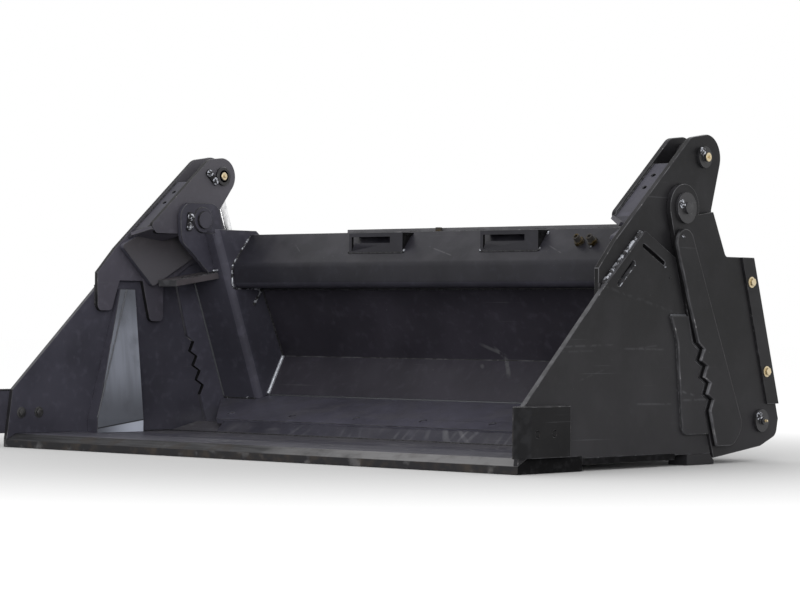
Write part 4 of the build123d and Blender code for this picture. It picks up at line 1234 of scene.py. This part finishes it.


# Finishes of single faces, by node or by kind; a later one goes over an earlier one
# The near-black gap finish on parting and strap edges, lower rims, outward ends and step ends paints the
# shade that falls there.
FACES = {
    "side_plate": (
        ("inside_paint", inward),
        ("worn_flank", front_edge),
        ("frame_paint", plain_rim),
        ("painted_shade", parting_edge),
    ),
    # The left plate's rim takes the lighter inside paint as painted light; the right plate's rim keeps the
    # outside paint.
    "rear_side_plate_left": (("strap_inside", inward), ("inside_paint", plain_rim), ("painted_shade", strap_edge)),
    "top_beam": (("low_paint", beam_bend),),
    "tooth_doubler": (("worn_flank", forward), ("painted_shade", parting_edge)),
    "strap_rib": (("strap_flank", front_flank), ("tooth_steel", tooth_flank), ("cap_paint", gap_floor)),
    "rear_side_plate": (("strap_inside", inward), ("frame_paint", plain_rim), ("painted_shade", strap_edge)),
    "arm_outer_plate": (("arm_inside", inward),),
    "arm_inner_plate": (("arm_inside", inward), ("painted_shade", lower_rim)),
    "arm_webs": (("painted_shade", lower_rim), ("tail_paint", tail_face)),
    "end_plate": (("bend_paint", column_bend),),
    "column_caps": (("cap_front", forward),),
    "corner_gusset": (("inside_paint", forward),),
    "front_cutting_edge": (("blade_steel", top_bevel), ("rusty_nose", blunt_nose), ("painted_shade", outward)),
    "floor_plate": (("painted_shade", outward),),
    "rear_lip": (("painted_shade", outward),),
    "skid_blocks": (("frame_paint", outward), ("frame_paint", forward)),
    "step_plates": (("painted_shade", step_end),),
    "side_cutter": (("inside_paint", inward), ("cutter_bevel", side_bevel), ("rusty_nose", blunt_nose)),
    "pivot_pin": (("inside_paint", inward),),
}
# Kinds whose edges stay sharp, and kinds with wider roundings
SHARP = ("step_plates",)
WIDE = {"strap_rib": 2.0, "tooth_doubler": 2.0}


def nodes_of(kind):
    """CAD nodes of a kind: the node itself or its left and right one."""
    return [name for name in (kind, kind + "_left", kind + "_right") if name in frame["nodes"]]


def dress(kind, width, paint, edge="rubbed_edge", slot="black_paint"):
    """Replaces the CAD nodes of a kind by rounded and finished copies."""
    for node in nodes_of(kind):
        piece = soft_copy(node, node + "_dressed", kind not in SHARP)
        paint_over(piece, paint, edge)
        if kind not in SHARP:
            round_edges(piece, width * WIDE.get(kind, 1))
        for finish, wanted in FACES.get(node, FACES.get(kind, ())):
            mark_faces(piece, finish, wanted)
        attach(piece, frame["nodes"][node]["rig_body"])
        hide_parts(node)


class BUCKET_OT_stage(bpy.types.Operator):
    """Camera at the photograph's angle, pale floor and soft light"""

    bl_idname = "bucket.stage"
    bl_label = "Stage"

    def execute(self, context):
        studio = context.scene.bucket_studio
        data = bpy.data.cameras.new("camera")
        data.sensor_width = SENSOR
        data.lens = studio.lens
        data.clip_end = CAMERA_REACH
        camera = bpy.data.objects.new("camera", data)
        context.scene.collection.objects.link(camera)
        flat = math.cos(studio.pitch)
        ahead = Vector(
            (-math.sin(studio.heading) * flat, math.cos(studio.heading) * flat, math.sin(studio.pitch))
        )
        right = Vector((math.cos(studio.heading), math.sin(studio.heading), 0))
        up = right.cross(ahead)
        turned_right = right * math.cos(studio.roll) + up * math.sin(studio.roll)
        turned_up = up * math.cos(studio.roll) - right * math.sin(studio.roll)
        turn = Matrix((turned_right, turned_up, -ahead)).transposed().to_4x4()
        camera.matrix_world = Matrix.Translation(Vector(studio.place)) @ turn
        context.scene.camera = camera

        clear_selection()
        bpy.ops.mesh.primitive_plane_add(size=FLOOR_SIDE, location=(0, 0, FLOOR_LEVEL))
        floor = context.object
        floor.name = "floor"
        settle(floor)
        finish = new_finish("pale_floor")[0]
        distance = finish.vector("LENGTH", finish.place(), output="Value")
        # The glow fades out towards the bucket: a painted soft shadow on the floor.
        seen = self.seen(finish) * finish.ramp(distance, *GLOW_SPAN)
        matt = finish.node("ShaderNodeBsdfDiffuse", {}, {"Color": solid(studio.floor)})
        glow = finish.node("ShaderNodeEmission", {}, {"Color": (1, 1, 1, 1), "Strength": studio.glow})
        lit = finish.node("ShaderNodeAddShader", {}, {0: matt, 1: glow})
        surface = finish.node("ShaderNodeMixShader", {}, {0: seen, 1: matt, 2: lit})
        finish.node("ShaderNodeOutputMaterial", {}, {"Surface": surface})
        paint_over(floor, "pale_floor")

        world = bpy.data.worlds.new("studio")
        world.use_nodes = True
        context.scene.world = world
        air = Finish(world.node_tree)
        seen = self.seen(air)
        strength = seen + (1 - seen) * studio.sky
        back = air.node("ShaderNodeBackground", {}, {"Color": (1, 1, 1, 1), "Strength": strength})
        air.node("ShaderNodeOutputWorld", {}, {"Surface": back})

        for name, place, size, power in LAMPS:
            self.lamp(name, place, size, power)
        context.scene.view_settings.view_transform = "Standard"
        return {"FINISHED"}

    def seen(self, finish):
        """1 for rays that show the surroundings as they are, 0 for those that only light."""
        rays = [
            finish.node("ShaderNodeLightPath", {}, {}, output)
            for output in ("Is Camera Ray", "Is Glossy Ray", "Is Transmission Ray")
        ]
        return finish.node("ShaderNodeClamp", {}, {"Value": rays[0] + rays[1] + rays[2]})

    def lamp(self, name, place, size, power):
        """Square soft light that looks at the bucket."""
        data = bpy.data.lights.new(name, "AREA")
        data.shape = "SQUARE"
        data.size = size
        data.energy = power
        lamp = bpy.data.objects.new(name, data)
        bpy.context.scene.collection.objects.link(lamp)
        lamp.location = place
        lamp.rotation_euler = (Vector(LAMP_TARGET) - Vector(place)).to_track_quat("-Z", "Y").to_euler()


class BUCKET_OT_finishes(bpy.types.Operator):
    """Finishes of the paint, bare steel, welds and fasteners"""

    bl_idname = "bucket.finishes"
    bl_label = "Finishes"

    def execute(self, context):
        colours = context.scene.bucket_colours
        bluish = (1.0, 0.99, 1.2)
        black_paint(
            "side_paint",
            tone=0.7,
            scuffed=0.25,
            fade=("Z", 0.5, 0.05, 0.14),
            marks=lined(SIDE_SCRATCHES),
        )
        black_paint("frame_paint", tone=0.72, scuffed=0.25, fade=("Z", 0.4, 0.05, 0.1))
        black_paint("arm_paint", tone=0.8, scuffed=0.25)
        # Lighter copies of the black paint for faces inside the bucket paint light there against the shade
        # inside; the arms' inner faces also get lighter towards the top as painted light.
        black_paint("inside_paint", tone=3.2, shine=0.2, dusty=0.4, scuffed=0.3, tint=bluish)
        black_paint("strap_inside", tone=4.4, shine=0.2, dusty=0.4, scuffed=0.3, tint=bluish)
        black_paint(
            "arm_inside",
            tone=4.4,
            shine=0.2,
            dusty=0.4,
            tint=(1.03, 0.99, 1.14),
            fade=("Z", 0.56, 0.86, 0.9),
        )
        # Tail plate under an arm's web: a lighter copy for the inside, darker towards its top as painted
        # shade under the arm's inner plate.
        black_paint(
            "tail_paint",
            tone=2.6,
            shine=0.2,
            dusty=0.3,
            tint=(1.1, 1.0, 1.02),
            fade=("Z", 0.64, 0.5, 0.9),
        )
        black_paint(
            "floor_paint",
            tone=3.4,
            shine=0.3,
            dusty=0.8,
            tint=bluish,
            fade=("Y", -0.2, 0.15, 0.7),
            marks=swirls,
            mark_level=1.8,
        )
        black_paint("rear_floor_paint", tone=4.8, shine=0.25, dusty=0.8, tint=bluish, scuffed=0.9)
        black_paint("dirt_paint", tone=2.6, dusty=0.8, tint=bluish, marks=swirls, mark_level=1.6)
        black_paint("bar_paint", tone=7.0, shine=0.3, dusty=0.6)
        black_paint("edge_paint", tone=3.4, shine=0.3, tint=bluish, marks=drag_marks, mark_level=1.6)
        # Moldboard: a lighter copy for the inside, going towards the dust colour low down so that its top
        # stays darker as painted shade under the beam.
        black_paint(
            "moldboard_paint",
            tone=2.1,
            tint=(1.05, 0.98, 1.18),
            fade=("Z", 0.28, 0.22, 0.14),
            marks=lined(MOLDBOARD_SCUFFS),
        )
        black_paint("beam_paint", tone=1.2, gloss=0.36, shine=0.25, tint=bluish, marks=lined(BEAM_SCRATCHES))
        # Lighter copies that paint light: column_paint on the end plates and ears inside the bucket, and
        # bend_paint, a painted highlight along each column's bend.
        black_paint("column_paint", tone=3.1, dusty=0.3, tint=bluish)
        black_paint("bend_paint", tone=4.1, shine=0.3, dusty=0.3, tint=bluish)
        black_paint("cap_paint", tone=4.6, dusty=0.8, tint=(1.1, 1.0, 1.0))
        # Lighter copies that paint light: web_paint on the arms' webs, which face up and forward, and
        # low_paint on the beam's lower bend and the webs' feet.
        black_paint("web_paint", tone=3.5, gloss=0.46, shine=0.2, tint=bluish)
        black_paint("low_paint", tone=2.2, gloss=0.46, shine=0.2, tint=bluish)
        black_paint("guard_paint", tone=0.92)
        black_paint("cutter_paint", tone=0.6, shine=0.08, dusty=0.3)
        black_paint("tube_paint", tone=1.2, gloss=0.32, shine=0.3)
        black_paint("pin_paint", tone=1.3, gloss=0.34, shine=0.3, dusty=0.8)
        rubbed_edge("rubbed_edge")
        rubbed_edge("soft_edge", wear=0.2)
        # Cut edges that look forward: worn paint made lighter, partly as painted light from the front.
        worn_flank("worn_flank", 0.9, -0.06)
        worn_flank("strap_flank", 0.8, -0.06, root=GAP_SHADE_ROOT)
        worn_flank("tooth_steel", 1.4, 0.12, root=GAP_SHADE_ROOT)
        worn_flank("cutter_bevel", 0.22, -0.06, 0.08)
        worn_flank("cap_front", 1.0, -0.06)
        # Near-black finish that paints the shade in gaps and on ends in shade.
        painted_shade("painted_shade")
        blade_steel("blade_steel")
        rusty_nose("rusty_nose")
        gusset_paint("gusset_paint")
        weld_metal("bright_weld", 0.3, 0.7, 95.0)
        weld_metal("shiny_weld", 0.75, 0.8, 60.0)
        weld_metal("dull_weld", 0.6, 0.16)
        weld_metal("painted_weld", 0.04)
        # Keeper bolts: dark paint whose small bright patches are partly bare metal and partly painted glints
        # of light.
        weld_metal("worn_bolt_with_glints", 0.3, 0.9, 160.0)
        plated("yellow_zinc", colours.zinc, 0.3, 0.02)
        plated("brass", [c * 0.12 for c in colours.brass], 0.42, 0.24)
        plated("bronze", colours.bronze, 0.4, 0.1)
        plated("cutter_bolt", [c * 0.3 for c in colours.steel], 0.45, 0.2)
        plated("pin_steel", [c * 0.35 for c in colours.steel], 0.36, 0.16)
        plated("chrome", (0.82, 0.82, 0.83), 0.2, -0.3, 0.0)
        return {"FINISHED"}


class BUCKET_OT_plates(bpy.types.Operator):
    """Painted plates with rounded, rubbed edges"""

    bl_idname = "bucket.plates"
    bl_label = "Painted plates"

    def execute(self, context):
        for kind, finishes in PLATES.items():
            dress(kind, context.scene.bucket_sizes.edge_round, *finishes)
        return {"FINISHED"}


class BUCKET_OT_cylinders(bpy.types.Operator):
    """Cylinders, tubes and hydraulic fittings"""

    bl_idname = "bucket.cylinders"
    bl_label = "Hydraulics"

    def execute(self, context):
        for kind, finishes in CYLINDERS.items():
            dress(kind, context.scene.bucket_sizes.fine_round, *finishes)
        return {"FINISHED"}


class BUCKET_OT_pins(bpy.types.Operator):
    """Pivot pins, rod pins, base pins and bushes"""

    bl_idname = "bucket.pins"
    bl_label = "Pins"

    def execute(self, context):
        for kind, finishes in PINS.items():
            dress(kind, context.scene.bucket_sizes.fine_round, *finishes)
        return {"FINISHED"}


class BUCKET_OT_welds(bpy.types.Operator):
    """Weld beads of the clamshell and the rear frame, bright and painted"""

    bl_idname = "bucket.welds"
    bl_label = "Weld beads"

    def execute(self, context):
        master = ripple()
        self.beads(master, "clamshell_bright_welds", SHELL_BRIGHT, "clamshell", "bright_weld")
        self.beads(master, "clamshell_dull_welds", SHELL_DULL, "clamshell", "dull_weld")
        self.beads(master, "clamshell_painted_welds", SHELL_PAINTED, "clamshell", "painted_weld")
        self.beads(master, "frame_bright_welds", FRAME_BRIGHT, "rear_frame", "bright_weld")
        self.beads(master, "frame_shiny_welds", FRAME_SHINY, "rear_frame", "shiny_weld")
        self.beads(master, "frame_dull_welds", FRAME_DULL, "rear_frame", "dull_weld")
        self.beads(master, "frame_painted_welds", FRAME_PAINTED, "rear_frame", "painted_weld")
        discard(master)
        return {"FINISHED"}

    def beads(self, master, name, lines, body, finish):
        """All beads of one body and finish as one piece."""
        made = []
        for radius, both, places in lines:
            for side in (1, -1) if both else (1,):
                run = spots(places, side)
                for start, end in zip(run, run[1:]):
                    made.append(bead(master, start, end, radius / 1000, len(made)))
        piece = join(made, name)
        bpy.ops.object.shade_smooth()
        paint_over(piece, finish)
        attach(piece, body)


class BUCKET_OT_closings(bpy.types.Operator):
    """Bent feet of the arms' inner plates, thin dark sheets that paint the shade in the steps' open ends, and
    dirt on the rear lip
    """

    bl_idname = "bucket.closings"
    bl_label = "Bent feet, step ends and dirt"

    def execute(self, context):
        rounding = context.scene.bucket_sizes.edge_round
        feet = []
        sheets = []
        for side in (1, -1):
            across_web = Vector((0, *ARM_ACROSS))
            feet.append(prism("web_foot", spots(ARM_FOOT, side), across_web * SHEET_THICKNESS))
            upward = Vector((side * SHEET_NORMAL[0], *SHEET_NORMAL[1:]))
            sheets.append(prism("bent_sheet", spots(ARM_SHEET, side), upward * SHEET_THICKNESS))
        self.place(join(feet, "arm_web_feet"), "low_paint", rounding, "clamshell")
        self.place(join(sheets, "arm_bent_sheets"), "arm_inside", rounding, "clamshell")
        # Thin near-black sheets in the steps' right ends paint the shade inside them.
        ends = []
        for x in STEP_ENDS:
            inside = Vector((-STEP_END_THICKNESS, 0, 0))
            ends.append(prism("step_end", spots(level(x, *STEP_END)), inside))
        self.place(join(ends, "step_end_shade_plates"), "painted_shade", 0.0, "rear_frame")
        start, end = DIRT_SPAN
        length = Vector(((end - start) / 1000, 0, 0))
        dirt = prism("lip_dirt", spots(level(start, *DIRT_SECTION)), length)
        edit("FACE")
        bpy.ops.mesh.subdivide(number_cuts=DIRT_CUTS)
        bpy.ops.transform.vertex_random(offset=DIRT_WAVER, seed=3)
        leave()
        self.place(dirt, "dirt_paint", 0.0, "clamshell")
        return {"FINISHED"}

    def place(self, piece, finish, rounding, body):
        """Finish, rounding and body of a piece."""
        paint_over(piece, finish, "soft_edge")
        if rounding:
            round_edges(piece, rounding)
        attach(piece, body)


class BUCKET_OT_fasteners(bpy.types.Operator):
    """Guard bolts, pin keepers, grease fittings, pin collars and cutter bolts"""

    bl_idname = "bucket.fasteners"
    bl_label = "Fasteners"

    def execute(self, context):
        sizes = context.scene.bucket_sizes
        guard = hex_bolt("guard_bolt", sizes.guard_bolt * 1000, *GUARD_HEAD)
        keeper = hex_bolt("keeper_bolt", sizes.keeper_bolt * 1000, *KEEPER_HEAD)
        grease = self.grease_fitting(sizes.grease_height * 1000)
        bar = keeper_bar("keeper_bar", *KEEPER_BAR)
        on_ear = EAR_IN - KEEPER_BAR[2]
        on_tang = TANG_IN - KEEPER_BAR[2]
        on_collar = TANG_IN - COLLAR

        bolts = self.stand(guard, GUARD_BOLTS, 1)
        self.fit(bolts, "guard_bolts", "yellow_zinc", "rear_frame", "frame_bolts")

        bolts = self.stand(keeper, level(HEAD_FACE, PIVOT_KEEPER, BASE_KEEPER), 1)
        bolts = bolts + self.stand(keeper, level(on_ear, *EAR_KEEPERS), -1)
        self.fit(bolts, "pin_keeper_bolts", "worn_bolt_with_glints", "rear_frame", "frame_bolts")
        bars = self.lay(bar, EAR_IN, EAR_BAR, EAR_BAR_RUN)
        self.fit(bars, "ear_keeper_bars", "arm_paint", "rear_frame", "frame_bolts")
        fittings = self.stand(grease, level(RIB_OUT, BASE_PIN), 1)
        self.fit(fittings, "base_grease_fittings", "yellow_zinc", "rear_frame", "frame_bolts")

        bolts = self.stand(keeper, level(ROD_HEAD_FACE, ROD_KEEPER), 1)
        bolts = bolts + self.stand(keeper, level(on_tang, *TANG_KEEPERS), -1)
        self.fit(bolts, "rod_keeper_bolts", "worn_bolt_with_glints", "clamshell", "rod_pin_keepers")
        bars = self.lay(bar, TANG_IN, TANG_BAR, TANG_BAR_RUN)
        self.fit(bars, "rod_keeper_bars", "arm_paint", "clamshell", "rod_pin_keepers")
        cap = turned("cap", 28, CAP_RINGS)
        outer = level(ROD_PIN_END, ROD_PIN)
        inner = level(on_collar, ROD_PIN)
        fittings = self.stand(grease, outer, 1) + self.stand(cap, outer, 1)
        fittings = fittings + self.stand(cap, inner, -1) + self.stand(grease, inner, -1)
        self.fit(fittings, "rod_grease_fittings", "yellow_zinc", "clamshell", "rod_pin_keepers")
        collar = turned("collar", 36, COLLAR_RINGS)
        collars = self.stand(collar, level(TANG_IN, ROD_PIN), -1)
        self.fit(collars, "rod_pin_collars", "pin_paint", "clamshell", "rod_pin_keepers")

        plough = turned("plough_bolt", 24, PLOUGH_RINGS)
        nut = hex_bolt("cutter_nut", *CUTTER_NUT)
        bolts = self.stand(plough, level(CUTTER_OUT, *CUTTER_BOLTS), 1)
        self.fit(bolts, "cutter_plough_bolts", "cutter_paint", "clamshell", "cutter_bolts")
        nuts = self.stand(nut, level(SIDE_IN, *CUTTER_BOLTS), -1)
        self.fit(nuts, "cutter_nuts", "cutter_bolt", "clamshell", "cutter_bolts")
        for master in (guard, keeper, grease, bar, cap, collar, plough, nut):
            discard(master)
        return {"FINISHED"}

    def grease_fitting(self, height):
        """Grease fitting: hexagon foot, neck and ball."""
        foot = turned("foot", 6, [(radius, height * share) for radius, share in GREASE_FOOT])
        neck = turned("neck", 14, [(radius, height * share) for radius, share in GREASE_NECK])
        return join([foot, neck], "grease_fitting")

    def stand(self, master, places, outwards):
        """Copies of a fastener on both sides, pointing away from the middle or to it."""
        made = []
        for side in (1, -1):
            for index, (x, y, z) in enumerate(places):
                copy = own_copy(master, master.name + "_copy")
                set_down(copy, spot(side * x, y, z), Vector((side * outwards, 0, 0)), BOLT_TURN + index)
                made.append(copy)
        return made

    def lay(self, master, x, place, run):
        """Copies of a keeper bar on both inner faces, along a direction in y and z."""
        made = []
        for side in (1, -1):
            copy = own_copy(master, master.name + "_copy")
            out = Vector((-side, 0, 0))
            along = Vector((0, *run)).normalized()
            turn = Matrix((along, out.cross(along), out)).transposed().to_4x4()
            copy.matrix_world = Matrix.Translation(spot(side * x, *place)) @ turn
            settle(copy)
            made.append(copy)
        return made

    def fit(self, pieces, name, finish, body, node):
        """Joins one set of fasteners and gives it its finish, body and node."""
        piece = join(pieces, name)
        paint_over(piece, finish)
        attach(piece, body)
        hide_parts(node)


class BUCKET_PT_panel(bpy.types.Panel):
    """Steps that dress the bucket, in order"""

    bl_idname = "BUCKET_PT_panel"
    bl_label = "Combination bucket"
    bl_space_type = "VIEW_3D"
    bl_region_type = "UI"
    bl_category = "Bucket"

    def draw(self, context):
        for step in STEPS:
            self.layout.operator(step.bl_idname)


STEPS = (
    BUCKET_OT_stage,
    BUCKET_OT_finishes,
    BUCKET_OT_plates,
    BUCKET_OT_cylinders,
    BUCKET_OT_pins,
    BUCKET_OT_welds,
    BUCKET_OT_closings,
    BUCKET_OT_fasteners,
)
GROUPS = (
    ("bucket_sizes", BucketSizes),
    ("bucket_colours", BucketColours),
    ("bucket_studio", BucketStudio),
)


def register():
    for name, group in GROUPS:
        bpy.utils.register_class(group)
        setattr(bpy.types.Scene, name, bpy.props.PointerProperty(type=group))
    for step in STEPS:
        bpy.utils.register_class(step)
    bpy.utils.register_class(BUCKET_PT_panel)


def unregister():
    bpy.utils.unregister_class(BUCKET_PT_panel)
    for step in reversed(STEPS):
        bpy.utils.unregister_class(step)
    for name, group in reversed(GROUPS):
        delattr(bpy.types.Scene, name)
        bpy.utils.unregister_class(group)


def main():
    register()
    for step in STEPS:
        family, action = step.bl_idname.split(".")
        getattr(getattr(bpy.ops, family), action)()


if __name__ == "__main__":
    main()
